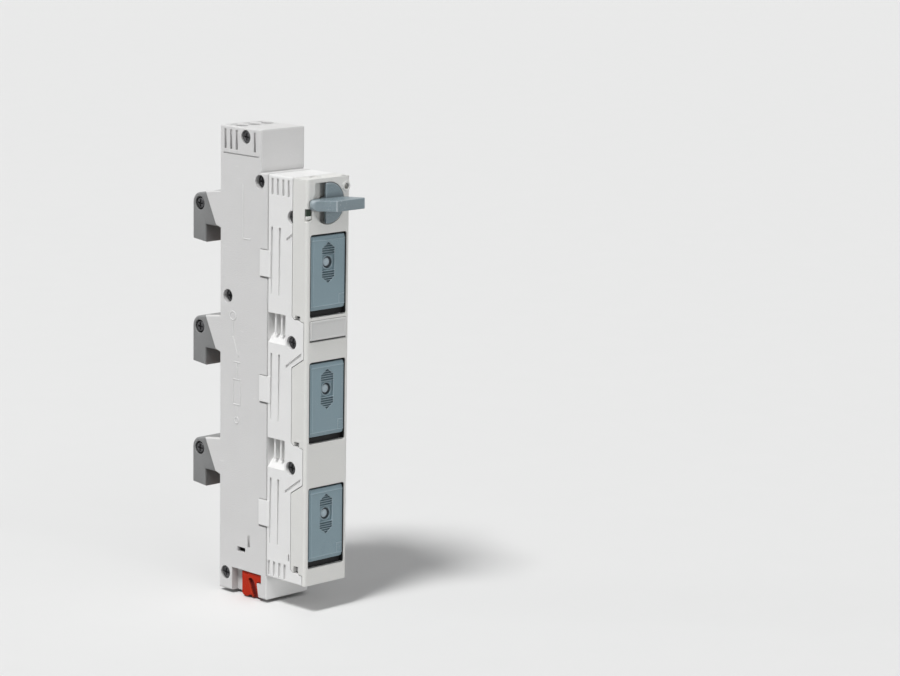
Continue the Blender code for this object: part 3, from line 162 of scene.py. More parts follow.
def even_world(colour, strength):
    """Light from all round in one colour, and the backdrop for the rays that show it."""
    world = bpy.data.worlds.new("studio")
    bpy.context.scene.world = world
    world.use_nodes = True
    tree = world.node_tree
    backdrop = tree.nodes["Background"]
    backdrop.inputs["Strength"].default_value = 1.0
    mix = tree.nodes.new("ShaderNodeMix")
    mix.data_type = "RGBA"
    mix.inputs["A"].default_value = (*[c * strength for c in colour], 1)
    mix.inputs["B"].default_value = (*BACKDROP, 1)
    tree.links.new(background_rays(tree), mix.inputs["Factor"])
    tree.links.new(mix.outputs["Result"], backdrop.inputs["Color"])


bpy.context.scene.view_settings.view_transform = "Standard"
even_world(SKY, SKY_LEVEL)
soft_sun("key", (-0.48, -0.06, 0.87), 2.50, 14)
soft_sun("front", (-0.22, -0.72, 0.65), 0.22, 24)
low_front = soft_sun("low_front", (0.02, -0.99, 0.09), 0.62, 10)
low_front.visible_glossy = False     # else it glares off the roof when seen from behind
softbox("band", (-0.9, 0.9, 0.30), (0, 0, 0.02), 0.10, 0.9, 1.2)

# %% [markdown]
# ## Surfaces from numbers
# Every new piece here is one or more grids of points, each worked out as whole arrays. A grid is
# rows by columns: the rows follow one parameter and the columns the other. Modelling by hand or
# with cut-outs would work as well, but a formula keeps its sizes readable and its edges round.

# %% Grids to meshes


def grid_faces(rows, columns, start, round_rows, round_columns):
    """Quads of a grid: each joins a point with its right, upper right and upper neighbour."""
    i = np.arange(rows if round_rows else rows - 1)
    j = np.arange(columns if round_columns else columns - 1)
    i, j = np.meshgrid(i, j, indexing="ij")
    here = i * columns + j
    right = i * columns + (j + 1) % columns
    above = ((i + 1) % rows) * columns + j
    beyond = ((i + 1) % rows) * columns + (j + 1) % columns
    return start + np.stack([here, right, beyond, above], axis=-1).reshape(-1, 4)


def surface(name, grids, body, angle=40):
    """A piece made of closed grids. Each grid is its points and whether rows and columns close.
    Doubled points at poles and seams are merged, the faces are turned outwards and shaded smooth
    up to the given angle. Each point also stores as wear_and_highlight how sharply its sharpest
    outward edge bends, less 0.22 and over 0.5 radians: such edges are painted pale, partly as
    rubbing and partly as a painted highlight."""
    points, faces, start = [], [], 0
    for grid, round_rows, round_columns in grids:
        rows, columns = grid.shape[:2]
        faces.append(grid_faces(rows, columns, start, round_rows, round_columns))
        points.append(grid.reshape(-1, 3))
        start += rows * columns
    points, faces = np.concatenate(points) * MM, np.concatenate(faces)
    mesh = bpy.data.meshes.new(name)
    mesh.vertices.add(len(points))
    mesh.vertices.foreach_set("co", points.ravel())
    mesh.loops.add(faces.size)
    mesh.loops.foreach_set("vertex_index", faces.ravel())
    mesh.polygons.add(len(faces))
    mesh.polygons.foreach_set("loop_start", np.arange(len(faces)) * 4)
    mesh.update(calc_edges=True)
    bm = bmesh.new()
    bm.from_mesh(mesh)
    bmesh.ops.remove_doubles(bm, verts=bm.verts, dist=1e-7)
    bmesh.ops.dissolve_degenerate(bm, edges=bm.edges, dist=1e-8)
    bmesh.ops.recalc_face_normals(bm, faces=bm.faces)
    bm.normal_update()
    bm.verts.index_update()
    worn_and_lit = np.zeros(len(bm.verts))
    for edge in bm.edges:
        bend = edge.calc_face_angle_signed(0.0)
        for end in edge.verts:
            worn_and_lit[end.index] = max(worn_and_lit[end.index], bend)
    bm.to_mesh(mesh)
    bm.free()
    wear_and_highlight = mesh.attributes.new("wear_and_highlight", "FLOAT", "POINT")
    wear_and_highlight.data.foreach_set("value", np.clip((worn_and_lit - 0.22) / 0.5, 0, 1))
    mesh.polygons.foreach_set("use_smooth", np.ones(len(mesh.polygons), dtype=bool))
    mesh.set_sharp_from_angle(angle=math.radians(angle))
    piece = bpy.data.objects.new(name, mesh)
    bpy.context.scene.collection.objects.link(piece)
    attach(piece, body)
    print(name, len(mesh.vertices), "points", len(mesh.polygons), "faces")
    return piece


# %% [markdown]
# ## Sizes, steps and rims
# New pieces take their sizes from the boxes of the solids they dress, so they follow when a solid
# changes. Steps between two levels are S-shaped, since a moulded step always has a small radius,
# and grids get their close rows only where such a step lies.

# %% Helpers for sizes and steps
REAR_FACE = -3.7       # the base's rear wall
FOOT_LEVEL = -100.0    # the lower end of the base


def box_mm(*nodes):
    """Lowest and highest corner, in millimetres, of the box round some CAD nodes."""
    corners = np.array([[list(corner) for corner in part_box(node)] for node in nodes]) / MM
    return corners[:, 0].min(axis=0), corners[:, 1].max(axis=0)


def smooth_step(low, high, values):
    """0 below low, 1 above high, and in between an S-shaped rise, 3 t squared less 2 t cubed."""
    t = np.clip((values - low) / (high - low), 0, 1)
    return t * t * (3 - 2 * t)


def graded(*stations):
    """Places along a line: each station is an end and the step used up to it."""
    parts = [np.array([stations[0][0]])]
    for (start, _), (end, step) in zip(stations[:-1], stations[1:]):
        count = max(1, round((end - start) / step))
        parts.append(np.linspace(start, end, count + 1)[1:])
    return np.concatenate(parts)


def quarter_round(rim, edge):
    """How far a rim with a quarter-round edge falls back at a distance from its edge: the rim's
    radius less the root of its square less the square of what is left of the radius."""
    return rim - np.sqrt(np.clip(rim**2 - np.clip(rim - edge, 0, rim) ** 2, 0, None))


def laid_out(first, second, along, axis):
    """Points from two cross coordinates and one along an axis, in the order x, y, z."""
    order = {"x": (along, first, second), "y": (first, along, second), "z": (first, second, along)}
    return np.stack(order[axis], axis=-1)


print("soft rise at a quarter", round(float(smooth_step(0, 1, 0.25)), 3))

# %% [markdown]
# ## Effects that several finishes share
# An effect that more than one finish uses is a node group with its own inputs, so that each finish
# can use it with its own numbers. Painted image maps would give the same, but not without image
# files. Four small helpers keep the wiring of the groups readable.

# %% Helpers for nodes


def node_group(name, inputs, outputs):
    """An empty shader group with named inputs (name, kind, default) and outputs (name, kind)."""
    group = bpy.data.node_groups.new(name, "ShaderNodeTree")
    for label, kind, default in inputs:
        socket = group.interface.new_socket(label, in_out="INPUT", socket_type=kind)
        if default is not None:
            socket.default_value = default
    for label, kind in outputs:
        group.interface.new_socket(label, in_out="OUTPUT", socket_type=kind)
    start = group.nodes.new("NodeGroupInput")
    end = group.nodes.new("NodeGroupOutput")
    return group, start, end


def noise_node(tree, vector, scale_from, detail, roughness=0.5):
    """Noise over the given coordinates; its scale is a number or another node's output."""
    node = tree.nodes.new("ShaderNodeTexNoise")
    node.inputs["Detail"].default_value = detail
    node.inputs["Roughness"].default_value = roughness
    tree.links.new(vector, node.inputs["Vector"])
    if isinstance(scale_from, (int, float)):
        node.inputs["Scale"].default_value = scale_from
    else:
        tree.links.new(scale_from, node.inputs["Scale"])
    return node


def math_node(tree, operation, first, second, clamp=False):
    """One sum or product of two numbers or outputs; gives its output."""
    node = tree.nodes.new("ShaderNodeMath")
    node.operation, node.use_clamp = operation, clamp
    for socket, value in zip(node.inputs, (first, second)):
        if isinstance(value, (int, float)):
            socket.default_value = value
        else:
            tree.links.new(value, socket)
    return node.outputs["Value"]


def swing(tree, source, amount):
    """An output that lies round a half, moved to lie round nought and scaled."""
    return math_node(tree, "MULTIPLY", math_node(tree, "SUBTRACT", source, 0.5), amount)


print("helpers", [helper.__name__ for helper in (node_group, noise_node, math_node, swing)])

# %% [markdown]
# ## Grain of moulded plastic
# Moulded plastic isn't flat: spark-eroded moulds leave a fine grain, and thick walls sink a little
# as they cool. Two noises do it, one fine and one slow, as bumps on top of each other. Real
# displacement would cost millions of faces for a grain that is finer than a tenth of a millimetre.

# %% Group: moulded grain


def moulded_grain():
    """Fine eroded grain over a slow waviness: a normal, and a roughness that wanders a little."""
    group, start, end = node_group("moulded_grain", [
        ("Vector", "NodeSocketVector", None), ("Grain Scale", "NodeSocketFloat", 2600.0),
        ("Grain Height", "NodeSocketFloat", 0.012), ("Wave Height", "NodeSocketFloat", 0.03),
        ("Roughness", "NodeSocketFloat", 0.45), ("Normal", "NodeSocketVector", None)],
        [("Normal", "NodeSocketVector"), ("Roughness", "NodeSocketFloat"),
         ("Grain", "NodeSocketFloat")])
    grain = noise_node(group, start.outputs["Vector"], start.outputs["Grain Scale"], 2.0, 0.6)
    wave = noise_node(group, start.outputs["Vector"], 55.0, 1.0)
    fine = group.nodes.new("ShaderNodeBump")
    fine.inputs["Distance"].default_value = 0.001
    slow = group.nodes.new("ShaderNodeBump")
    slow.inputs["Distance"].default_value = 0.02
    links = group.links
    links.new(start.outputs["Wave Height"], slow.inputs["Strength"])
    links.new(wave.outputs["Fac"], slow.inputs["Height"])
    links.new(start.outputs["Normal"], slow.inputs["Normal"])
    links.new(start.outputs["Grain Height"], fine.inputs["Strength"])
    links.new(grain.outputs["Fac"], fine.inputs["Height"])
    links.new(slow.outputs["Normal"], fine.inputs["Normal"])
    wander = swing(group, wave.outputs["Fac"], 0.22)
    speckle = swing(group, grain.outputs["Fac"], 0.12)
    change = math_node(group, "ADD", wander, speckle)
    rough = math_node(group, "ADD", start.outputs["Roughness"], change, True)
    links.new(fine.outputs["Normal"], end.inputs["Normal"])
    links.new(rough, end.inputs["Roughness"])
    links.new(grain.outputs["Fac"], end.inputs["Grain"])
    return group


GRAIN = moulded_grain()
print(GRAIN.name, len(GRAIN.nodes), "nodes")

# %% [markdown]
# ## Round edges and painted gap shade
# Edges catch the light because a mould leaves them slightly round and hands polish them. The
# solids have sharp edges, so the normal is turned over a small radius where the picture is made,
# which needs no more faces; the mask of where it turns also paints edges pale, a painted
# highlight. In gaps shade is painted into the colour: a measure of how open a place is tells where.

# %% Groups: round edges and painted gap shade


def round_edges():
    """Edges as a mould leaves them: a normal that turns over a small radius, and a mask of where
    it does, used to paint edges pale as a painted highlight.
    """
    group, start, end = node_group("round_edges", [("Radius", "NodeSocketFloat", 0.0003)],
                                   [("Normal", "NodeSocketVector"), ("Edge", "NodeSocketFloat")])
    bevel = group.nodes.new("ShaderNodeBevel")
    bevel.samples = 6
    flat = group.nodes.new("ShaderNodeNewGeometry")
    dot = group.nodes.new("ShaderNodeVectorMath")
    dot.operation = "DOT_PRODUCT"
    group.links.new(start.outputs["Radius"], bevel.inputs["Radius"])
    group.links.new(bevel.outputs["Normal"], dot.inputs[0])
    group.links.new(flat.outputs["Normal"], dot.inputs[1])
    turned = math_node(group, "SUBTRACT", 1.0, dot.outputs["Value"])
    group.links.new(math_node(group, "MULTIPLY", turned, 3.0, True), end.inputs["Edge"])
    group.links.new(bevel.outputs["Normal"], end.inputs["Normal"])
    return group


def gap_shade():
    """How open a place is, from 0 deep in a gap to 1 outside, used as painted shade."""
    group, start, end = node_group("gap_shade", [("Reach", "NodeSocketFloat", 0.003),
                                                 ("Depth", "NodeSocketFloat", 0.6)],
                                   [("Shade", "NodeSocketFloat")])
    seen = group.nodes.new("ShaderNodeAmbientOcclusion")
    seen.samples = 8
    group.links.new(start.outputs["Reach"], seen.inputs["Distance"])
    closed = math_node(group, "SUBTRACT", 1.0, seen.outputs["AO"])
    loss = math_node(group, "MULTIPLY", closed, start.outputs["Depth"], True)
    group.links.new(math_node(group, "SUBTRACT", 1.0, loss, True), end.inputs["Shade"])
    return group


ROUND = round_edges()
GAPS = gap_shade()
print(ROUND.name, "and", GAPS.name)

# %% [markdown]
# ## Handled colour, painted highlight and shade
# A plastic that is years old has slow clouds in its colour and sparse fine scuffs. Its edges are
# painted paler, partly as rubbing and partly as a painted highlight, and gaps are darkened as
# painted shade. Each is a noise or a mask that shifts the colour a little. One flat colour would
# look like a drawing.

# %% Group: handled colour with painted highlight and shade


def handled_and_shaded_colour():
    """A colour with slow cloudy changes, sparse fine scuffs, a paler edge that is partly rubbing and
    partly painted highlight, and the painted shade of the gap shade it is given.
    """
    group, start, end = node_group("handled_and_shaded_colour", [
        ("Vector", "NodeSocketVector", None), ("Colour", "NodeSocketColor", (0.8, 0.8, 0.8, 1)),
        ("Worn Colour", "NodeSocketColor", (0.9, 0.9, 0.9, 1)), ("Cloud", "NodeSocketFloat", 0.05),
        ("Scuff", "NodeSocketFloat", 0.15), ("Edge", "NodeSocketFloat", 0.0),
        ("Grain", "NodeSocketFloat", 0.5), ("Shade", "NodeSocketFloat", 1.0)],
        [("Colour", "NodeSocketColor"), ("Scuff", "NodeSocketFloat")])
    links = group.links
    cloud = noise_node(group, start.outputs["Vector"], 38.0, 3.0)
    stretch = group.nodes.new("ShaderNodeMapping")
    stretch.inputs["Rotation"].default_value = (0.4, 0.7, 0.2)
    stretch.inputs["Scale"].default_value = (1400, 160, 900)
    links.new(start.outputs["Vector"], stretch.inputs["Vector"])
    lines = noise_node(group, stretch.outputs["Vector"], 1.0, 1.0)
    patches = noise_node(group, start.outputs["Vector"], 90.0, 2.0)
    thin = group.nodes.new("ShaderNodeMapRange")
    thin.inputs["From Min"].default_value, thin.inputs["From Max"].default_value = 0.66, 0.74
    links.new(lines.outputs["Fac"], thin.inputs["Value"])
    where = group.nodes.new("ShaderNodeMapRange")
    where.inputs["From Min"].default_value, where.inputs["From Max"].default_value = 0.55, 0.7
    links.new(patches.outputs["Fac"], where.inputs["Value"])
    scuff = math_node(group, "MULTIPLY", thin.outputs["Result"], where.outputs["Result"])
    scuff = math_node(group, "MULTIPLY", scuff, start.outputs["Scuff"], True)
    shift = swing(group, cloud.outputs["Fac"], start.outputs["Cloud"])
    pit = swing(group, start.outputs["Grain"], 0.10)
    level = math_node(group, "ADD", math_node(group, "ADD", shift, pit), 1.0)
    toned = group.nodes.new("ShaderNodeVectorMath")
    toned.operation = "SCALE"
    links.new(start.outputs["Colour"], toned.inputs[0])
    links.new(level, toned.inputs["Scale"])
    worn_and_lit = group.nodes.new("ShaderNodeMix")
    worn_and_lit.data_type = "RGBA"
    # painted highlight and rubbing: edges and scuffs are mixed towards the paler colour
    rubbed_and_lit = math_node(group, "MULTIPLY", start.outputs["Edge"], 0.8)
    links.new(math_node(group, "ADD", rubbed_and_lit, scuff, True), worn_and_lit.inputs["Factor"])
    links.new(toned.outputs["Vector"], worn_and_lit.inputs["A"])
    links.new(start.outputs["Worn Colour"], worn_and_lit.inputs["B"])
    # painted shade: the colour is darkened by the gap shade
    shaded = group.nodes.new("ShaderNodeVectorMath")
    shaded.operation = "SCALE"
    links.new(worn_and_lit.outputs["Result"], shaded.inputs[0])
    links.new(start.outputs["Shade"], shaded.inputs["Scale"])
    links.new(shaded.outputs["Vector"], end.inputs["Colour"])
    links.new(scuff, end.inputs["Scuff"])
    return group


HANDLED_AND_SHADED = handled_and_shaded_colour()
print(HANDLED_AND_SHADED.name, len(HANDLED_AND_SHADED.nodes), "nodes")

# %% [markdown]
# ## Drawn and tarnished metal
# Copper and brass strips are drawn or rolled, which leaves fine lines along them, and they tarnish
# in clouds. Stretching a noise along one axis gives the lines, and a second noise the clouds.

# %% Group: drawn metal


def drawn_metal():
    """Metal with drawing lines along one axis and cloudy tarnish: colour, roughness and height."""
    group, start, end = node_group("drawn_metal", [
        ("Vector", "NodeSocketVector", None), ("Lines", "NodeSocketVector", (300, 300, 4000)),
        ("Colour", "NodeSocketColor", (0.6, 0.6, 0.6, 1)),
        ("Tarnish Colour", "NodeSocketColor", (0.2, 0.2, 0.2, 1)),
        ("Tarnish", "NodeSocketFloat", 0.4), ("Roughness", "NodeSocketFloat", 0.35)],
        [("Colour", "NodeSocketColor"), ("Roughness", "NodeSocketFloat"),
         ("Height", "NodeSocketFloat")])
    links = group.links
    drawn = group.nodes.new("ShaderNodeVectorMath")
    drawn.operation = "MULTIPLY"
    links.new(start.outputs["Vector"], drawn.inputs[0])
    links.new(start.outputs["Lines"], drawn.inputs[1])
    lines = noise_node(group, drawn.outputs["Vector"], 1.0, 2.0)
    cloud = noise_node(group, start.outputs["Vector"], 260.0, 4.0, 0.6)
    spread = group.nodes.new("ShaderNodeMapRange")
    spread.inputs["From Min"].default_value, spread.inputs["From Max"].default_value = 0.35, 0.7
    links.new(cloud.outputs["Fac"], spread.inputs["Value"])
    amount = math_node(group, "MULTIPLY", spread.outputs["Result"], start.outputs["Tarnish"], True)
    blend = group.nodes.new("ShaderNodeMix")
    blend.data_type = "RGBA"
    links.new(amount, blend.inputs["Factor"])
    links.new(start.outputs["Colour"], blend.inputs["A"])
    links.new(start.outputs["Tarnish Colour"], blend.inputs["B"])
    streak = swing(group, lines.outputs["Fac"], 0.3)
    dulled = math_node(group, "MULTIPLY", amount, 0.25)
    change = math_node(group, "ADD", streak, dulled)
    rough = math_node(group, "ADD", start.outputs["Roughness"], change, True)
    links.new(blend.outputs["Result"], end.inputs["Colour"])
    links.new(rough, end.inputs["Roughness"])
    links.new(lines.outputs["Fac"], end.inputs["Height"])
    return group


DRAWN = drawn_metal()
print("groups", [g.name for g in bpy.data.node_groups])

# %% [markdown]
# ## Finishes
# A finish is a Principled shader fed by those groups. The numbers that are the same all over stay
# on the shader's own sockets. The pattern is read from object coordinates, so it has one real
# size on every piece, and no piece needs a map of its own.

# %% Moulded plastics and metals


def new_finish(name):
    """A material with its Principled shader and the object's own coordinates."""
    mat = bpy.data.materials.new(name)
    mat.use_nodes = True
    tree = mat.node_tree
    shader = tree.nodes["Principled BSDF"]
    place = tree.nodes.new("ShaderNodeTexCoord").outputs["Object"]
    return mat, tree, shader, place


def use_group(tree, group, **values):
    """A group placed in a material: each input is given a number, a colour or another output."""
    node = tree.nodes.new("ShaderNodeGroup")
    node.node_tree = group
    for label, value in values.items():
        socket = node.inputs[label.replace("_", " ")]
        if isinstance(value, bpy.types.NodeSocket):
            tree.links.new(value, socket)
        else:
            socket.default_value = value
    return node


def plastic(name, colour, worn_and_lit, roughness=0.45, grain=0.35, scale=2600.0, wave=0.02, cloud=0.05,
            scuff=0.25, radius=0.3, coat=0.0, specular=0.5, reach=3.0, depth=0.75, wear_and_highlight=0.6):
    """Moulded plastic. Radius is the roundness of its edges and reach how far the painted gap shade
    spreads, both in millimetres; depth is how dark it gets, and wear_and_highlight how much of the
    stored pale edge, rubbing and painted highlight, shows."""
    mat, tree, shader, place = new_finish(name)
    edges = use_group(tree, ROUND, Radius=radius * MM)
    grained = use_group(tree, GRAIN, Vector=place, Grain_Scale=scale, Grain_Height=grain,
                        Wave_Height=wave, Roughness=roughness, Normal=edges.outputs["Normal"])
    # painted shade: gaps and recesses get a darker colour
    gaps = use_group(tree, GAPS, Reach=reach * MM, Depth=depth)
    # painted highlight and rubbing: the stored bend and the edge mask make edges pale
    rubbed_and_lit = tree.nodes.new("ShaderNodeAttribute")
    rubbed_and_lit.attribute_name = "wear_and_highlight"
    stored = math_node(tree, "MULTIPLY", rubbed_and_lit.outputs["Fac"], wear_and_highlight)
    both = math_node(tree, "MAXIMUM", edges.outputs["Edge"], stored)
    toned = use_group(tree, HANDLED_AND_SHADED, Vector=place, Colour=(*colour, 1), Worn_Colour=(*worn_and_lit, 1),
                      Cloud=cloud, Scuff=scuff, Edge=both, Grain=grained.outputs["Grain"],
                      Shade=gaps.outputs["Shade"])
    tree.links.new(toned.outputs["Colour"], shader.inputs["Base Color"])
    tree.links.new(grained.outputs["Roughness"], shader.inputs["Roughness"])
    tree.links.new(grained.outputs["Normal"], shader.inputs["Normal"])
    shader.inputs["Coat Weight"].default_value = coat
    shader.inputs["Coat Roughness"].default_value = 0.12
    shader.inputs["Specular IOR Level"].default_value = specular
    return mat


def metal(name, colour, tarnish_colour, tarnish, roughness, lines=(300, 300, 4000), bump=0.15):
    """Drawn metal; the larger an axis' number, the closer the noise changes along it."""
    mat, tree, shader, place = new_finish(name)
    worked = use_group(tree, DRAWN, Vector=place, Lines=lines, Colour=(*colour, 1),
                       Tarnish_Colour=(*tarnish_colour, 1), Tarnish=tarnish, Roughness=roughness)
    relief = tree.nodes.new("ShaderNodeBump")
    relief.inputs["Strength"].default_value = bump
    relief.inputs["Distance"].default_value = 0.0003
    edges = use_group(tree, ROUND, Radius=0.15 * MM)
    tree.links.new(worked.outputs["Height"], relief.inputs["Height"])
    tree.links.new(edges.outputs["Normal"], relief.inputs["Normal"])
    tree.links.new(worked.outputs["Colour"], shader.inputs["Base Color"])
    tree.links.new(worked.outputs["Roughness"], shader.inputs["Roughness"])
    tree.links.new(relief.outputs["Normal"], shader.inputs["Normal"])
    shader.inputs["Metallic"].default_value = 1.0
    return mat


# reach and depth set each finish's painted gap shade
FINISH = {
    "housing": plastic("housing_plastic", (0.730, 0.725, 0.720), (0.93, 0.93, 0.92), 0.42,
                       radius=0.30, depth=0.35),
    # painted sheen: the front shell is paler than the base's same plastic
    "front_shell": plastic("front_shell_plastic_with_sheen", (0.89, 0.888, 0.88), (0.95, 0.95, 0.94), 0.42,
                           radius=0.30, reach=12.0, depth=0.12),
    "hood": plastic("hood_plastic", (0.80, 0.797, 0.770), (0.95, 0.95, 0.93), 0.38, radius=0.45,
                    depth=0.12),
    # painted light: the foot is paler, standing in for light thrown up from the floor
    "foot": plastic("foot_plastic_painted_light", (0.88, 0.88, 0.87), (0.95, 0.95, 0.94), 0.42, radius=0.30,
                    depth=0.0),
    "marker": plastic("marker_plastic", (0.70, 0.70, 0.69), (0.86, 0.86, 0.85), 0.38, radius=0.2,
                      scuff=0.35),
    "cover": plastic("cover_plastic", (0.240, 0.335, 0.380), (0.56, 0.65, 0.70), 0.32, radius=0.12,
                     cloud=0.08, reach=0.8, depth=0.75),
    # painted highlight: a paler disc on each dark lens
    "highlight_disc": plastic("highlight_disc_plastic", (0.38, 0.47, 0.52), (0.60, 0.68, 0.72), 0.25, radius=0.10,
                    coat=0.3, reach=0.8),
    "handle": plastic("handle_plastic", (0.230, 0.290, 0.320), (0.60, 0.66, 0.70), 0.28,
                      radius=0.12, cloud=0.08, scuff=0.5, reach=3.0, depth=0.9, wear_and_highlight=0.8),
    # painted shade: the claw's long reach darkens the inner faces of its hook
    "claw": plastic("claw_plastic", (0.225, 0.228, 0.228), (0.42, 0.43, 0.43), 0.40, radius=0.15,
                    scuff=0.5, reach=12.0, depth=1.0),
    "slide": plastic("slide_plastic", (0.50, 0.024, 0.005), (0.66, 0.11, 0.05), 0.50, radius=0.15,
                     specular=0.12, cloud=0.1, reach=1.5, depth=0.9),
    # painted shade: the groove's floor is a darker red
    "groove": plastic("slide_groove_painted_shade", (0.17, 0.012, 0.008), (0.20, 0.02, 0.01), 0.5,
                      radius=0.10, specular=0.2, reach=1.5),
    "carrier": plastic("carrier_plastic", (0.012, 0.013, 0.014), (0.05, 0.05, 0.05), 0.5,
                       radius=0.15, specular=0.3),
    "drive": plastic("drive_plastic", (0.03, 0.03, 0.032), (0.08, 0.08, 0.08), 0.5, radius=0.15),
    "window": plastic("window_plastic", (0.004, 0.022, 0.007), (0.02, 0.06, 0.03), 0.15, grain=0.02,
                      radius=0.1, coat=0.1, specular=0.3),
    "lens": plastic("lens_plastic", (0.020, 0.030, 0.040), (0.08, 0.10, 0.12), 0.12, grain=0.0,
                    wave=0.0, radius=0.05, scuff=0.1, coat=0.2, specular=0.3, reach=1.0),
    "ceramic": plastic("fuse_ceramic", (0.78, 0.76, 0.71), (0.70, 0.68, 0.62), 0.22, grain=0.12,
                       scale=900.0, radius=0.1, coat=0.5),
    "dark_screw": metal("blackened_steel", (0.11, 0.11, 0.115), (0.02, 0.02, 0.02), 0.8, 0.42,
                        (900, 900, 900)),
    "steel": metal("plated_steel", (0.62, 0.61, 0.58), (0.34, 0.33, 0.30), 0.5, 0.30),
    "copper": metal("tarnished_copper", (0.56, 0.29, 0.19), (0.24, 0.13, 0.09), 0.6, 0.40,
                    (200, 200, 2500)),
    "silver": metal("silvered_brass", (0.74, 0.72, 0.68), (0.42, 0.38, 0.32), 0.5, 0.25,
                    (300, 4000, 300)),
}
print("finishes", len(FINISH))

# %% [markdown]
# ## Finishes on the solids
# The shells, the hood and the inner parts already have their right shape. They keep their meshes
# and only get a finish. A table by name is easier to read and to change than one line a piece.

# %% Dress the solids
POLES = (1, 2, 3)


def of_each_pole(*kinds):
    return [f"{kind}_{pole}" for kind in kinds for pole in POLES]


DRESS = {
    "housing": ["base_shell_left", "base_shell_right", "cable_cover"],
    "front_shell": ["front_shell_left", "front_shell_right"],
    "hood": ["front_hood"],
    "window": ["indicator_window"],
    "steel": ["knob_shaft"] + of_each_pole("terminal_cage", "clamp_spring"),
    "drive": ["switch_crank", "switch_bar"],
    "carrier": of_each_pole("fuse_carrier"),
    "copper": of_each_pole("line_contact", "load_contact", "fuse_contact", "bridge_contact"),
}


def wear_finish(piece, finish):
    piece.data.materials.clear()
    piece.data.materials.append(FINISH[finish])


def dress_solids():
    for finish, nodes in DRESS.items():
        for node in nodes:
            solid = frame["nodes"][node]
            for slot in solid.material_slots:
                slot.material = FINISH[finish]
    print("dressed", sum(len(nodes) for nodes in DRESS.values()), "solids")


dress_solids()

# %% [markdown]
# ## Covers with a ribbed grip
# Each cover is a flat plate with rounded corners and a sloping lip at its top and bottom. A long
# six-sided grip is sunk into it, with fine ribs above and below a round sight hole. It could be
# cut with many small blocks, but a height over each point of the plate is shorter: the depth is a
# sum of smooth steps, and the same formula makes all three.

# %% The three covers
COVER_CORNER = 0.9
COVER_RIM = 0.45
COVER_SHY = 0.2         # the cover's left edge stays this far behind the solid's
LIP_FROM_EDGE = 2.1
LIP_SLOPE = 0.6
GRIP_HALF_WIDE = 4.0
GRIP_HALF_TALL = 9.7
GRIP_SHOULDER = 6.8
GRIP_DEEP = 1.0
RIB_PITCH = 1.12
RIB_FIRST = 3.9         # heights of the first and last rib over and under the sight hole
RIB_LAST = 8.9
SIGHT_RADIUS = 2.9
SIGHT_DEEP = 1.45
COLLAR_WIDE = 0.75      # raised ring round the sight hole
AXIS_BELOW_TOP = 12.8
COVER_THICK = 2.0
PAD_WIDE = (6.5, 10.3)      # raised blank field at the lower right, from the middle
PAD_TALL = (1.7, 7.0)       # and from the lower edge
PAD_LINES = 1.7             # pitch of the fine lines across it


def rounded_half_width(half_width, half_height, corner, height):
    """Half width of a rounded rectangle at a height: full, and on a circle near its ends."""
    into = np.clip(np.abs(height) - (half_height - corner), 0, corner)
    return half_width - corner + np.sqrt(corner**2 - into**2)


def cover_depth(x, z, half_width, half_height, axis_z):
    """How far each point lies behind the front: a quarter-round rim, a slope at the lips, the
    six-sided grip, its ribs (a raised cosine along z) and the sight hole (a step in radius)."""
    limit = rounded_half_width(half_width, half_height, COVER_CORNER, z)
    edge = np.minimum(limit - np.abs(x), half_height - np.abs(z))
    rim = quarter_round(COVER_RIM, edge)
    past_lip = np.abs(z) - (half_height - LIP_FROM_EDGE)
    lip = LIP_SLOPE * np.clip(past_lip / LIP_FROM_EDGE, 0, 1)
    bead = 0.16 * np.exp(-(past_lip / 0.22) ** 2)
    side = 0.25 * smooth_step(half_width - 1.5, half_width - 1.2, np.abs(x))
    low = z + half_height
    beside = np.minimum(x - PAD_WIDE[0], PAD_WIDE[1] - x)
    field = np.minimum(beside, np.minimum(low - PAD_TALL[0], PAD_TALL[1] - low))
    pad = 0.20 * smooth_step(0, 0.15, field) - 0.08 * smooth_step(0.3, 0.45, field)
    from_line = np.abs((low - PAD_TALL[0]) % PAD_LINES - PAD_LINES / 2)
    pad = pad - 0.08 * smooth_step(0.35, 0.15, from_line) * smooth_step(0.5, 0.7, field)
    up = z - axis_z
    shoulder = np.abs(x) * (GRIP_HALF_TALL - GRIP_SHOULDER) / GRIP_HALF_WIDE
    inside = np.minimum(GRIP_HALF_WIDE - np.abs(x), GRIP_HALF_TALL - np.abs(up) - shoulder)
    grip = GRIP_DEEP * smooth_step(0, 0.28, inside)
    wave = 0.5 + 0.5 * np.cos(math.tau * (np.abs(up) - RIB_FIRST) / RIB_PITCH)
    band = smooth_step(RIB_FIRST - 0.6, RIB_FIRST - 0.35, np.abs(up))
    band = band * smooth_step(0, 0.5, RIB_LAST - np.abs(up))
    rib = wave**1.3 * band * smooth_step(0.0, 0.2, inside)
    from_axis = np.hypot(x, up)
    hole = SIGHT_DEEP * smooth_step(0, 0.18, SIGHT_RADIUS - from_axis)
    collar = 0.35 * smooth_step(0, 0.3, SIGHT_RADIUS + COLLAR_WIDE - from_axis)
    collar = collar * smooth_step(0.1, 0, SIGHT_RADIUS - from_axis)
    return np.maximum(rim, 0) + lip - bead + side - pad + np.maximum(grip - rib - collar, hole)


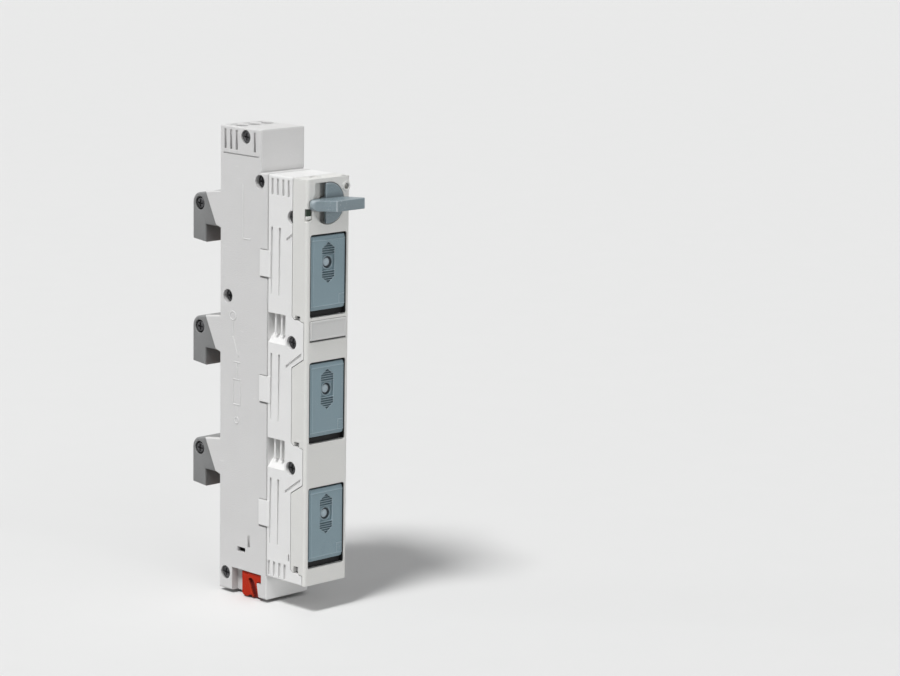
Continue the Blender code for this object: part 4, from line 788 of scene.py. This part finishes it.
def closed_plate(front_points, back, depth=1):
    """The front grid, one more ring straight back at its border, and a pole in the back's middle.
    The depth is the coordinate that runs backwards."""
    walls = np.pad(front_points, ((1, 1), (1, 1), (0, 0)), mode="edge")
    ring = np.ones(walls.shape[:2], dtype=bool)
    ring[1:-1, 1:-1] = False
    walls[ring, depth] = back
    closed = np.pad(walls, ((1, 1), (1, 1), (0, 0)), mode="edge")
    ring = np.ones(closed.shape[:2], dtype=bool)
    ring[1:-1, 1:-1] = False
    closed[ring] = front_points.reshape(-1, 3).mean(axis=0)
    closed[ring, depth] = back
    return closed


def make_cover(pole):
    """The cover of one pole; gives the place of its sight hole's middle on the front."""
    low, high = box_mm(f"carrier_panel_{pole}")
    low[0] += COVER_SHY
    high[2] -= COVER_SHY / 2
    middle_x, middle_z = (low[0] + high[0]) / 2, (low[2] + high[2]) / 2
    half_width, half_height = (high[0] - low[0]) / 2, (high[2] - low[2]) / 2
    axis_z = high[2] - AXIS_BELOW_TOP - middle_z
    across = graded((-1, 0), (-0.84, 0.010), (-0.40, 0.05), (0.40, 0.0115), (0.56, 0.05),
                    (1, 0.011))
    up = graded((-half_height, 0), (7.6 - half_height, 0.12), (axis_z - 10.2, 0.5),
                (axis_z + 10.2, 0.10), (half_height, 0.12))
    z, t = np.meshgrid(up, across, indexing="ij")
    x = t * rounded_half_width(half_width, half_height, COVER_CORNER, z)
    y = low[1] + cover_depth(x, z, half_width, half_height, axis_z)
    front = np.stack([x + middle_x, y, z + middle_z], axis=-1)
    plate = closed_plate(front, low[1] + COVER_THICK)
    cover = surface(f"cover_{pole}_ribbed", [(plate, False, False)], f"cover_{pole}", 50)
    wear_finish(cover, "cover")
    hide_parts(f"carrier_panel_{pole}")
    return middle_x, low[1], axis_z + middle_z


# %% [markdown]
# ## Sight holes
# A dark lens closes each sight hole, and a small paler disc, a painted highlight, covers most of
# it, so that only a dark crescent is left at the lower right. Both are low discs, turned round an
# axis like lathe work. A sphere would bulge too much, so the profile is a low ellipse.

# %% Lenses and painted highlight discs
HIGHLIGHT_DISC_RADIUS = 1.9
HIGHLIGHT_DISC_OFFSET = (-0.95, 0.25)


def turned(profile, centre, columns=48, axis="y"):
    """A profile of radii and depths turned round an axis: radius times cosine and sine of the
    turn angle give the two cross directions, and the depth runs along the axis."""
    radius, depth = np.array(profile, dtype=float).T
    turn = np.linspace(0, math.tau, columns, endpoint=False)
    first = radius[:, None] * np.cos(turn)
    second = radius[:, None] * np.sin(turn)
    along = np.broadcast_to(depth[:, None], first.shape)
    return laid_out(first, second, along, axis) + np.array(centre)


def dome(radius, crown, edge, back):
    """Profile of a low dome: its depth falls from the crown to the edge as 1 less the root of 1
    less radius squared, then it goes straight back."""
    t = np.linspace(0, 1, 12)
    fall = edge - crown
    profile = [(radius * s, crown + fall * (1 - math.sqrt(1 - 0.98 * s * s))) for s in t]
    return profile + [(radius, back), (0, back)]


def make_sight(pole, x, front, z):
    """The lens lies deep in the hole, and the painted highlight disc just behind the front."""
    lens = turned(dome(SIGHT_RADIUS * 0.95, 1.05, 1.3, SIGHT_DEEP + 0.02), (x, front, z))
    lens = surface(f"sight_lens_{pole}", [(lens, False, True)], f"cover_{pole}")
    wear_finish(lens, "lens")
    place = (x + HIGHLIGHT_DISC_OFFSET[0], front, z + HIGHLIGHT_DISC_OFFSET[1])
    highlight_disc = turned(dome(HIGHLIGHT_DISC_RADIUS, 0.15, 0.75, 0.95), place)
    highlight_disc = surface(f"sight_highlight_disc_{pole}", [(highlight_disc, False, True)], f"cover_{pole}")
    wear_finish(highlight_disc, "highlight_disc")


for pole in POLES:
    make_sight(pole, *make_cover(pole))

# %% [markdown]
# ## Black trays as painted shade
# Behind each cover lies a shallow black tray on the fuse carrier, a dark sheet that paints the
# shade in the gaps. It shows as a thin black line round the cover and as the dark free slot below
# it. Like the covers it is a height over a grid: a flat floor with a thin rim that stands up to just
# behind the front. The rim is left out at the lower end, where the cover slides down.

# %% The trays
TRAY_RIM = 0.45
TRAY_ASIDE, TRAY_TOP, TRAY_BELOW = 0.5, 0.68, 3.0      # how far it reaches past the cover
TRAY_CORNER = 1.1
TRAY_BEHIND = 0.35        # its rim lies this far behind the cover's front
TRAY_DEEP = 1.9


def make_shade_tray(pole):
    """A rim at the top and both sides. The lower end has none, as the cover slides over it."""
    low, high = box_mm(f"carrier_panel_{pole}")
    left, right = low[0] - TRAY_ASIDE, high[0] + TRAY_ASIDE
    bottom, top = low[2] - TRAY_BELOW, high[2] + TRAY_TOP
    half_width, half_height = (right - left) / 2, (top - bottom) / 2
    across = graded((-1, 0), (-0.93, 0.01), (0.93, 0.1), (1, 0.01))
    up = graded((-half_height, 0), (1 - half_height, 0.1), (half_height - 1, 1.0),
                (half_height, 0.1))
    z, t = np.meshgrid(up, across, indexing="ij")
    x = t * rounded_half_width(half_width, half_height, TRAY_CORNER, z)
    edge = np.minimum(half_width - np.abs(x), half_height - z)
    y = low[1] + TRAY_BEHIND + TRAY_DEEP * smooth_step(TRAY_RIM - 0.1, TRAY_RIM, edge)
    points = np.stack([x + (left + right) / 2, y, z + (bottom + top) / 2], axis=-1)
    plate = closed_plate(points, low[1] + TRAY_BEHIND + TRAY_DEEP + 0.1)
    tray = surface(f"cover_shade_tray_{pole}", [(plate, False, False)], f"carrier_{pole}")
    # painted shade: black, so the gap round the cover and the slot below read dark
    wear_finish(tray, "carrier")


for pole in POLES:
    make_shade_tray(pole)

# %% [markdown]
# ## Slabs with a rounded rim
# The handle's disc and lever, the skins and the sill are flat slabs whose rims are rounded. Each is
# an outline carried round a small quarter circle at both faces: the outline moves inwards along
# its own normals as it nears a face. Bevelling a cut-out would do the same, less evenly.

# %% Rounded slabs


def inward(outline):
    """Unit directions into a closed outline at each point: the mean of its two edges' normals,
    lengthened at corners so that both edges move by the same amount."""
    following = np.roll(outline, -1, axis=0)
    before = outline - np.roll(outline, 1, axis=0)
    after = following - outline
    normals = []
    for edge in (before, after):
        unit = edge / np.linalg.norm(edge, axis=1, keepdims=True)
        normals.append(np.stack([-unit[:, 1], unit[:, 0]], axis=1))
    mean = normals[0] + normals[1]
    mean /= np.linalg.norm(mean, axis=1, keepdims=True)
    lengthen = 1 / np.clip((mean * normals[0]).sum(axis=1, keepdims=True), 0.5, 1)
    crossed = outline[:, 0] * following[:, 1] - following[:, 0] * outline[:, 1]
    return mean * lengthen * math.copysign(1, crossed.sum())


def dense(outline, step):
    """The same closed outline with points no further apart than the step."""
    outline = np.array(outline, dtype=float)
    parts = []
    for start, end in zip(outline, np.roll(outline, -1, axis=0)):
        count = max(1, math.ceil(np.linalg.norm(end - start) / step))
        share = np.linspace(0, 1, count, endpoint=False)[:, None]
        parts.append(start + share * (end - start))
    return np.concatenate(parts)


def arc_points(centre, radius, first, last, steps):
    """Points on a circle between two angles in degrees."""
    turn = np.radians(np.linspace(first, last, steps + 1))
    return [(centre[0] + radius * math.cos(t), centre[1] + radius * math.sin(t)) for t in turn]


def slab(outline, low, high, axis, rim=0.5, steps=4, heart=None):
    """Rounded slab: rows run from the middle of one face over its rim to the middle of the other.
    Each row is the outline, moved in by rim less rim times the sine, at a depth that follows the
    cosine of the same angle. Close rows beside the rim keep the rubbed edge narrow."""
    outline = dense(outline, 0.7)
    towards = inward(outline)
    centre = outline.mean(axis=0) if heart is None else np.array(heart)
    reach = outline + rim * towards - centre
    face = [(centre + share * reach, 0) for share in (0, 0.5, 0.93)]
    angle = np.linspace(0, math.pi / 2, steps + 1)
    rim_rows = [(outline + rim * (1 - math.sin(a)) * towards, rim * (1 - math.cos(a)))
                for a in angle]
    near = min(0.3, (high - low) / 2 - rim - 0.01)
    half = face + rim_rows + [(outline, rim + near)]
    rows = [(points, low + depth) for points, depth in half]
    rows += [(points, high - depth) for points, depth in half[::-1]]
    flat = np.array([points for points, _ in rows])
    along = np.broadcast_to(np.array([level for _, level in rows])[:, None], flat.shape[:2])
    return laid_out(flat[..., 0], flat[..., 1], along, axis)


UNIT_SQUARE = np.array([(0, 0), (1, 0), (1, 1), (0, 1)], dtype=float)
print("inward of a square's first corner", inward(UNIT_SQUARE)[0].round(2))

# %% [markdown]
# ## Turning handle
# The handle is a disc with a flat on its left, sunk in a round recess, and a lever that stands out
# from it, level in the off position. Its nose is rounded on the left and its grip end is square.
# The disc is a slab turned to face forward; the lever is a second slab that lies level.

# %% The handle
KNOB_RADIUS = 9.6
KNOB_FLAT = 1.8
LEVER_TALL = 5.0
LEVER_RIM = 0.22
LEVER_NOSE = 2.8          # length over which the nose thins out
NOSE_RADIUS = 2.2
DISC_THICK = 1.5
DISC_BEHIND = 10.6        # the disc's front, behind the lever's tip
HUB_RADIUS = 2.6
LEVER_LEFT = [(-8.6, 4.6), (-7.6, 3.2), (-4.9, 0)]       # from the axis, and behind the tip
LEVER_BACK = [(8.6, 10.2), (8.0, 11.6), (-8.0, 11.6)]


def make_handle():
    """The lever's height follows a half ellipse over the length of its nose."""
    low, high = box_mm("rotary_knob")
    joint = next(j for j in frame["joints"] if j["name"] == "knob_turn")
    axis_x, axis_z = joint["pos_m"][0] / MM, joint["pos_m"][2] / MM
    tip, nose_x, end_x = low[1], low[0] - axis_x, high[0] - axis_x
    disc_front = tip + DISC_BEHIND
    flat_turn = math.degrees(math.acos(KNOB_FLAT / KNOB_RADIUS))
    disc = arc_points((axis_x, axis_z), KNOB_RADIUS, -180 + flat_turn, 180 - flat_turn, 60)
    side = arc_points((nose_x + NOSE_RADIUS, 8.6), NOSE_RADIUS, 100, 245, 8) + LEVER_LEFT
    side += [(end_x - 0.8, 0), (end_x, 0.8), (end_x, 2.0)] + LEVER_BACK + [(nose_x + 3.4, 11.2)]
    side = [(axis_x + x, tip + behind) for x, behind in side]
    half = LEVER_TALL / 2
    lever = slab(side, axis_z - half, axis_z + half, "z", LEVER_RIM, 5, (axis_x, tip + 6))
    into_nose = np.clip((low[0] + LEVER_NOSE - lever[..., 0]) / LEVER_NOSE, 0, 0.97)
    lever[..., 2] = axis_z + (lever[..., 2] - axis_z) * np.sqrt(1 - into_nose**2)
    stub = [(0, disc_front + 1), (HUB_RADIUS, disc_front + 1), (HUB_RADIUS, high[1]), (0, high[1])]
    hub = turned(stub, (axis_x, 0, axis_z), 40)
    plate = slab(disc, disc_front, disc_front + DISC_THICK, "y", 0.35, 4, (axis_x + 2, axis_z))
    grids = [(part, False, True) for part in (plate, lever, hub)]
    handle = surface("turning_handle", grids, "knob", 35)
    wear_finish(handle, "handle")
    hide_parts("rotary_knob")


make_handle()

# %% [markdown]
# ## Red slide
# The slide locks the foot. Seen from the side it has a straight back, a nose at the top that rests
# on a step of the housing, a groove with a round top that slants down its leg, and two round
# lobes at its lower end. For each distance from its back the slide reaches from one height to
# another, so one grid between the two curves covers it, and the groove is a step in its depth.
# The groove's faces get a darker red, as painted shade.

# %% The slide
LOBES = ((2.5, 2.7, -1.1), (8.4, 3.0, -1.1))   # distance from the back, radius, lowest point
LOBE_LIFT = 1.3           # from the lobes' zero level to the slide's lower end
HOOK_FROM = 10.9          # where the nose begins, from the back
HOOK_FOOT = 8.6           # height of the nose's underside
GROOVE_FROM = 5.9         # distance of the groove's round top from the back
GROOVE_TOP = HOOK_FOOT + 1.4
GROOVE_HALF = 2.2
GROOVE_DEEP = 1.5
GROOVE_SLANT = 0.46       # forwards for each millimetre down
STEM = ((-27.3, 7.6), (-22.3, 7.6), (-22.3, 11.0), (-27.3, 11.0))     # hidden guide, at its depth


def slide_foot(away):
    """Lower edge: the lower of the two lobes' circles, closed off between them, and the nose's
    step with a steep smooth rise in front of them."""
    feet = []
    for middle, radius, lowest in LOBES:
        aside = np.minimum(np.abs(away - middle), radius * 0.98)
        feet.append(lowest + radius - np.sqrt(radius**2 - aside**2))
    lobes = np.minimum(np.minimum(*feet), 0.2)
    rise = smooth_step(HOOK_FROM, HOOK_FROM + 0.3, away)
    return lobes * (1 - rise) + (HOOK_FOOT - LOBE_LIFT) * rise


def make_slide():
    """Away is the distance from the back. The leg slants forwards as it goes down. A point lies in
    the groove when its distance from the groove's middle line is less than half its width."""
    low, high = box_mm("locking_slide")
    length, tall = high[1] - low[1], high[2] - low[2]
    away = graded((0, 0), (0.5, 0.06), (HOOK_FROM - 0.2, 0.16), (HOOK_FROM + 0.5, 0.05),
                  (length - 0.4, 0.2), (length, 0.05))
    share = graded((0, 0), (0.04, 0.008), (0.96, 0.02), (1, 0.008))
    away, share = np.meshgrid(away, share, indexing="ij")
    foot = np.maximum(slide_foot(away) + LOBE_LIFT, 0.05)
    roof = tall - 0.5 * smooth_step(0.7, 0, away)
    z = foot + share * (roof - foot)
    slant = 1.5 * smooth_step(0, 10.0, away) * np.clip((HOOK_FOOT - z) / 6.0, 0, 1)
    slant = slant * (away < HOOK_FROM + 0.31)
    edge = np.minimum(np.minimum(z - foot, roof - z), np.minimum(away, length - away))
    beside = away + slant - GROOVE_FROM - GROOVE_SLANT * (GROOVE_TOP - z)
    above = np.clip(z - GROOVE_TOP + GROOVE_HALF, 0, None)
    depth = GROOVE_DEEP * smooth_step(0, 0.4, GROOVE_HALF - np.hypot(beside, above))
    scoop = 0.5 * smooth_step(2.2, 0.4, np.hypot(away - 3.4, tall - z))
    x = low[0] + quarter_round(0.35, edge) + depth + scoop
    points = np.stack([x, high[1] - away - slant, low[2] + z], axis=-1)
    face = closed_plate(points, low[0] + 3.2, 0)
    outline = [(y, low[2] + height) for y, height in STEM]
    stem = slab(outline, low[0] + 2.5, high[0], "x", 0.2, 2)
    slide = surface("red_slide", [(face, False, False), (stem, False, True)], "slide", 35)
    wear_finish(slide, "slide")
    # painted shade: the groove's faces get the darker red
    slide.data.materials.append(FINISH["groove"])
    middles = np.empty(len(slide.data.polygons) * 3)
    slide.data.polygons.foreach_get("center", middles)
    middles = middles.reshape(-1, 3) / MM
    sunk = (middles[:, 0] > low[0] + GROOVE_DEEP / 2) & (middles[:, 0] < low[0] + GROOVE_DEEP + 0.2)
    sunk &= middles[:, 2] < low[2] + HOOK_FOOT + 3.0
    sunk &= (middles[:, 1] < high[1] - 4.6) & (middles[:, 2] > low[2] + 0.1)
    slide.data.polygons.foreach_set("material_index", sunk.astype(np.int32))
    print("groove faces", int(sunk.sum()))
    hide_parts("locking_slide")


make_slide()

# %% [markdown]
# ## Claws
# A claw hooks over a busbar. It is a thick grey casting with softly rounded long edges and a round
# recess for its screw. Seen from the side its whole outline can be seen from the screw's axis, so
# one surface does it all: rings that grow from the bottom of the screw hole, over the hole's rim,
# out to the outline, across the width and back in on the far side.

# %% The claws
CLAW_SOFT = 0.9
EYE_RADIUS = 3.15
EYE_DEEP = 3.5
EYE_LIP = 0.45
FINGER_DEEP = 9.5         # the finger that grips behind the busbar
MOUTH_TALL = 8.5


def claw_rings(outline, eye, left, right):
    """Rings round the eye. A ring is a circle near the eye and the outline further out; all keep
    the same turn angles, those of the outline's points as seen from the eye."""
    outline = dense(outline, 1.2)
    turn = np.arctan2(outline[:, 1] - eye[1], outline[:, 0] - eye[0])
    circle = np.stack([np.cos(turn), np.sin(turn)], axis=1)
    towards = inward(outline)
    angle = np.linspace(0, math.pi / 2, 5)
    rows = [(eye + 0 * circle, left + EYE_DEEP), (eye + EYE_RADIUS * circle, left + EYE_DEEP),
            (eye + EYE_RADIUS * circle, left + EYE_LIP)]
    for a in angle[1:]:
        radius = EYE_RADIUS + EYE_LIP * (1 - math.cos(a))
        rows.append((eye + radius * circle, left + EYE_LIP * (1 - math.sin(a))))
    rim = [(outline + CLAW_SOFT * (1 - math.sin(a)) * towards, CLAW_SOFT * (1 - math.cos(a)))
           for a in angle]
    rows += [(points, left + depth) for points, depth in rim]
    rows += [(points, right - depth) for points, depth in rim[::-1]]
    rows += [(eye + 0 * circle, right)]
    flat = np.array([points for points, _ in rows])
    along = np.broadcast_to(np.array([level for _, level in rows])[:, None], flat.shape[:2])
    return laid_out(flat[..., 0], flat[..., 1], along, "x")


def make_claw(pole):
    """Outline of (depth, height): along the mouth's roof, down and round the finger, and up to the
    heel, a circle round the screw."""
    low, high = box_mm(f"busbar_claw_{pole}")
    screw_low, screw_high = box_mm(f"claw_screw_{pole}")
    eye = np.array([(screw_low[1] + screw_high[1]) / 2, (screw_low[2] + screw_high[2]) / 2])
    rear, wall = high[1], REAR_FACE + 0.1
    finger_tip, roof = low[2], low[2] + MOUTH_TALL
    heel = rear - eye[0]
    inside = rear - FINGER_DEEP
    outline = [(wall, roof), (inside, roof), (inside, finger_tip), (rear, finger_tip + 0.9)]
    outline += arc_points(eye, heel, 0, 84, 8) + [(wall, high[2])]
    rings = claw_rings(outline, eye, low[0], high[0])
    claw = surface(f"claw_{pole}", [(rings, False, True)], "housing", 50)
    wear_finish(claw, "claw")
    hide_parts(f"busbar_claw_{pole}")


for pole in POLES:
    make_claw(pole)

# %% [markdown]
# ## Screws
# Deep in the round recesses sit dark screws with a cross drive. They are small, but the recesses
# would look empty without them. The head is a turned profile whose face is pushed in where a point
# lies within either arm of the cross, so no cutting is needed.

# %% Screws with a cross drive
HEAD_TALL = 2.4
SHANK_RADIUS = 1.5
CROSS_DEEP = 1.1
FACE_ROWS = 14
HOUSING_HEAD, CLAW_HEAD = 3.1, 2.7      # head radii
# how far each head stands out from that of its solid
SCREWS = {"base_screw_1": 1.7, "base_screw_2": 0.6, "base_screw_3": 0.6, "base_screw_4": 1.7,
          "front_screw_1": 1.2, "front_screw_2": 1.2, "front_screw_3": 1.2}
CLAW_SCREW_OUT = 0.4


def make_screw(node, head, proud):
    """Rows from the middle of the head's face, over its edge and down the shank. The face sinks by
    a step in the smaller of the two cross distances. The head has its washer formed on, so it may
    stand prouder than the plain solid."""
    low, high = box_mm(node)
    centre = ((low[0] + high[0]) / 2, (low[1] + high[1]) / 2, (low[2] + high[2]) / 2)
    low[0] -= proud
    tall, length = HEAD_TALL + proud, high[0] - low[0]
    side = [head * 0.96, head, head, SHANK_RADIUS, SHANK_RADIUS, 0]
    radius = np.concatenate([np.linspace(0, head * 0.86, FACE_ROWS), side])
    fall = np.linspace(0, 0.12, FACE_ROWS) ** 1.5
    depth = np.concatenate([fall, [0.3, 0.6, tall, tall, length, length]])
    points = turned(np.stack([radius, depth], axis=1), (low[0], centre[1], centre[2]), 48, "x")
    face = points[:FACE_ROWS]
    aside, above = np.abs(face[..., 1] - centre[1]), np.abs(face[..., 2] - centre[2])
    arm = smooth_step(0.42, 0.28, np.minimum(aside, above))
    arm = arm * smooth_step(2.0, 1.6, np.maximum(aside, above))
    face[..., 0] += CROSS_DEEP * arm
    screw = surface(f"{node}_cross", [(points, False, True)], "housing", 40)
    wear_finish(screw, "dark_screw")
    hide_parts(node)


for node, proud in SCREWS.items():
    make_screw(node, HOUSING_HEAD, proud)
for pole in POLES:
    make_screw(f"claw_screw_{pole}", CLAW_HEAD, CLAW_SCREW_OUT)

# %% [markdown]
# ## Marker plate
# Between the first two covers a blank plate is clipped in for the user's own marking. It is a thin
# plate with a slightly sunken field inside a narrow frame. In the thin strip under it a black slab
# shows, as a painted shadow.

# %% The marker plate
MARKER_PROUD = 0.35
# painted shadow: the strip under the plate where a black slab shows
MARKER_SHADOW_TALL = 0.62        # height of the dark slot under it
SHADOW_SLAB = 1.2           # height of the slab that darkens it, partly behind the plate
MARKER_ASIDE = 0.15       # how far it reaches over its seat at the other edges
MARKER_FRAME = 1.6
MARKER_RIM = 0.3


def rectangle(low, high):
    """Corners of an upright or level rectangle between two corners."""
    return [(low[0], low[1]), (high[0], low[1]), (high[0], high[1]), (low[0], high[1])]


def make_marker():
    """The field is a step in the distance from the plate's edge."""
    low, high = box_mm("marker_plate")
    # painted shadow: a black slab under the plate
    slot = rectangle((low[0] + 0.1, low[2]), (high[0] - 0.1, low[2] + SHADOW_SLAB))
    slot = slab(slot, low[1] + 0.22, high[1], "y", 0.05, 2)
    shade = surface("marker_shadow_slab", [(slot, False, True)], "housing")
    wear_finish(shade, "drive")
    low = low + np.array((-MARKER_ASIDE, 0, MARKER_SHADOW_TALL))
    high = high + np.array((MARKER_ASIDE, 0, MARKER_ASIDE))
    middle = (low + high) / 2
    half_width, half_height = (high[0] - low[0]) / 2, (high[2] - low[2]) / 2
    up, across = [
        graded((-half, 0), (MARKER_FRAME - half, 0.08), (half - MARKER_FRAME, 0.6), (half, 0.08))
        for half in (half_height, half_width)]
    z, x = np.meshgrid(up, across, indexing="ij")
    edge = np.minimum(half_width - np.abs(x), half_height - np.abs(z))
    field = 0.12 * smooth_step(0.9, 1.1, edge)
    y = low[1] + quarter_round(MARKER_RIM, edge) + field - MARKER_PROUD
    points = np.stack([x + middle[0], y, z + middle[2]], axis=-1)
    plate = surface("blank_marker", [(closed_plate(points, high[1]), False, False)], "housing")
    wear_finish(plate, "marker")
    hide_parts("marker_plate")


make_marker()

# %% [markdown]
# ## Fuses
# Behind each cover a carrier holds a cylindrical fuse, which shows when the carrier is pulled out:
# a glazed ceramic tube between two silvered caps with rolled edges. All three are turned profiles.

# %% The fuses


def make_turned_part(node, finish, body, profile):
    """A part of the fuse, turned round its own middle line from front to back."""
    low, high = box_mm(node)
    centre = ((low[0] + high[0]) / 2, 0, (low[2] + high[2]) / 2)
    radius = (high[0] - low[0]) / 2
    points = turned(profile(radius, low[1], high[1]), centre, 64)
    part = surface(f"{node}_turned", [(points, False, True)], body)
    wear_finish(part, finish)
    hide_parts(node)


def tube_profile(radius, front, back):
    """Tube with its edges taken off."""
    return [(0, front), (radius - 0.5, front), (radius, front + 0.5), (radius, back - 0.5),
            (radius - 0.5, back), (0, back)]


def cap_profile(radius, front, back):
    """Cap with a rolled bead next to the tube and a rounded outer edge."""
    outer = [(0, front), (radius - 1.0, front), (radius - 0.4, front + 0.15),
             (radius - 0.15, front + 0.6)]
    bead = [(radius - 0.25 + 0.25 * math.sin(t), back - 0.5 + 0.25 * math.cos(t))
            for t in np.linspace(3.1, 0, 6)]
    return outer + bead + [(radius - 0.6, back), (0, back)]


for pole in POLES:
    make_turned_part(f"fuse_tube_{pole}", "ceramic", f"carrier_{pole}", tube_profile)
    make_turned_part(f"fuse_front_cap_{pole}", "silver", f"carrier_{pole}", cap_profile)
    make_turned_part(f"fuse_rear_cap_{pole}", "silver", f"carrier_{pole}", cap_profile)

# %% [markdown]
# ## Smooth front skins
# The two base halves meet in the middle, but the head and the foot show one smooth front. A thin
# skin clipped over each makes it. It is a flat slab with a rounded rim, 0.3 mm thick and sunk by
# most of that, so it barely stands out.

# %% Front skins
SKIN_PROUD = 0.05
SKIN_THICK = 0.3
SKIN_CORNER = 0.4
SKIN_INSET = 0.15
HEAD_SETBACK = 4.8        # the head's front, behind the foot's


def make_skin(name, low, high, front, finish):
    """A slab whose outline is the rectangle's rounded corners, thickened to the rear."""
    corners = ((high[0], high[1], 0), (low[0], high[1], 90), (low[0], low[1], 180),
               (high[0], low[1], 270))
    outline = []
    for x, z, turn in corners:
        away = math.copysign(SKIN_CORNER, z - (low[1] + high[1]) / 2)
        inner = (x - math.copysign(SKIN_CORNER, x), z - away)
        outline += arc_points(inner, SKIN_CORNER, turn, turn + 90, 4)
    front -= SKIN_PROUD
    sheet = slab(outline, front, front + SKIN_THICK, "y", SKIN_PROUD, 2)
    skin = surface(name, [(sheet, False, True)], "housing")
    wear_finish(skin, finish)


base_low, base_high = box_mm("base_shell_left", "base_shell_right")
left, right = base_low[0] + SKIN_INSET, base_high[0] - SKIN_INSET
hood_top = box_mm("front_hood")[1][2]
make_skin("head_front_skin", (left, hood_top + 0.3), (right, base_high[2] - SKIN_INSET),
          base_low[1] + HEAD_SETBACK, "housing")
foot_top = box_mm("front_shell_left")[0][2]
# painted light: the foot's skin wears the paler foot finish
make_skin("foot_front_skin", (left, base_low[2] + SKIN_INSET), (right, foot_top - 0.2),
          base_low[1], "foot")

# %% [markdown]
# ## Window sill
# The green window sits in a notch at the hood's edge, and its lower part is hidden by a pale sill.
# A small rounded slab does it.

# %% The sill


def make_sill():
    """A level slab that stands out a little in front of the window's lower end."""
    low, high = box_mm("indicator_window")
    outline = rectangle((low[0] - 0.1, low[1] - 0.35), (high[0], low[1] + 0.8))
    block = slab(outline, low[2] - 0.3, low[2] + 1.1, "z", 0.1, 2)
    sill = surface("window_sill", [(block, False, True)], "housing")
    wear_finish(sill, "hood")


make_sill()

# %% [markdown]
# ## Relief marks on the side wall
# The side wall carries the circuit in raised lines: a ring, an open blade, a fuse and a terminal
# ring, and further up the corner of a raised field. Each line is half a small rod let into the
# wall: an ellipse carried along its path, closed to a point at both ends.

# %% Raised lines
LINE_WIDE = 0.34
LINE_TALL = 0.24
LINE_STEP = 0.5
RINGS = [((9.4, 134.6), 2.1, 24), ((12.3, 84.3), 1.5, 20)]      # middle, radius, points
BOX_LINE = [(9.8, 104.1), (14.8, 104.1), (14.8, 91.9), (9.8, 91.9)]
OPEN_LINES = [[(9.4, 132.4), (9.4, 125.0)], [(9.4, 125.0), (13.4, 115.0)],
              [(9.6, 112.6), (15.0, 112.6)], [(12.3, 112.6), (12.3, 104.1)],
              [(12.3, 91.9), (12.3, 85.9)], [(16.2, 198.5), (16.2, 172.6), (22.0, 172.6)]]


def ridge(path, wall, closed=False):
    """An ellipse carried along a path of (depth, height) points in the wall's plane: the path's
    normal times the cosine gives the width and the sine gives the height over the wall."""
    if closed:
        path = dense(path, LINE_STEP)
        along = np.roll(path, -1, axis=0) - np.roll(path, 1, axis=0)
    else:
        parts = [np.array(path[:1], dtype=float)]
        for start, end in zip(path[:-1], path[1:]):
            count = max(2, math.ceil(math.dist(start, end) / LINE_STEP))
            parts.append(np.linspace(start, end, count)[1:])
        path = np.concatenate(parts)
        along = np.gradient(path, axis=0)
    along /= np.linalg.norm(along, axis=1, keepdims=True)
    across = np.stack([-along[:, 1], along[:, 0]], axis=1)
    size = np.ones(len(path))
    if not closed:
        size[[0, -1]] = 0
    turn = np.linspace(0, math.tau, 10, endpoint=False)[:, None]
    offset = LINE_WIDE * np.cos(turn) * size
    x = wall - LINE_TALL * np.sin(turn) * size
    y = path[:, 0] + offset * across[:, 0]
    z = path[:, 1] + offset * across[:, 1]
    return np.stack([x, y, z], axis=-1), True, closed


def on_wall(path):
    """Points given from the rear face and the foot, in the frame's depth and height."""
    return [(REAR_FACE - depth, FOOT_LEVEL + height) for depth, height in path]


def make_marks():
    wall = box_mm("base_shell_left")[0][0] + 0.02
    rings = [on_wall(arc_points(middle, radius, 180, -180, steps)[:-1])
             for middle, radius, steps in RINGS]
    lines = [ridge(path, wall, True) for path in rings + [on_wall(BOX_LINE)]]
    lines += [ridge(on_wall(path), wall) for path in OPEN_LINES]
    marks = surface("relief_marks", lines, "housing", 60)
    wear_finish(marks, "housing")


make_marks()

# %% [markdown]
# ## Floor
# The object stands on a plain pale sweep. A disc far wider than the view is enough, and from low
# down the world behind its edge is as pale as it is. Its grain is a very faint cloud, so that it
# isn't a dead flat tone. Only the rays that show the background see it this pale; it throws less
# light up into the gaps of the object.

# %% The floor
FLOOR_RADIUS = 14          # in metres
FLOOR_SEEN = (0.79, 0.79, 0.785)
FLOOR_CLOUD = (0.76, 0.76, 0.75)
FLOOR_THROWN = 0.46


def make_floor():
    mat, tree, shader, place = new_finish("studio_floor")
    toned = use_group(tree, HANDLED_AND_SHADED, Vector=place, Colour=(*FLOOR_SEEN, 1),
                      Worn_Colour=(*FLOOR_CLOUD, 1), Cloud=0.015, Scuff=0.0, Edge=0.0)
    mix = tree.nodes.new("ShaderNodeMix")
    mix.data_type = "RGBA"
    mix.inputs["A"].default_value = (FLOOR_THROWN, FLOOR_THROWN, FLOOR_THROWN, 1)
    tree.links.new(background_rays(tree), mix.inputs["Factor"])
    tree.links.new(toned.outputs["Colour"], mix.inputs["B"])
    tree.links.new(mix.outputs["Result"], shader.inputs["Base Color"])
    shader.inputs["Roughness"].default_value = 0.7
    radius = np.linspace(0, FLOOR_RADIUS, 8)[:, None]
    turn = np.linspace(0, math.tau, 64, endpoint=False)
    points = np.stack([radius * np.cos(turn), radius * np.sin(turn),
                       np.full((8, 64), cad_low[2] - 0.0002)], axis=-1)
    mesh = bpy.data.meshes.new("floor")
    faces = grid_faces(8, 64, 0, False, True)
    mesh.from_pydata(points.reshape(-1, 3).tolist(), [], faces.tolist())
    mesh.materials.append(mat)
    floor = bpy.data.objects.new("floor", mesh)
    bpy.context.scene.collection.objects.link(floor)
    print("floor", len(mesh.polygons), "faces")


make_floor()
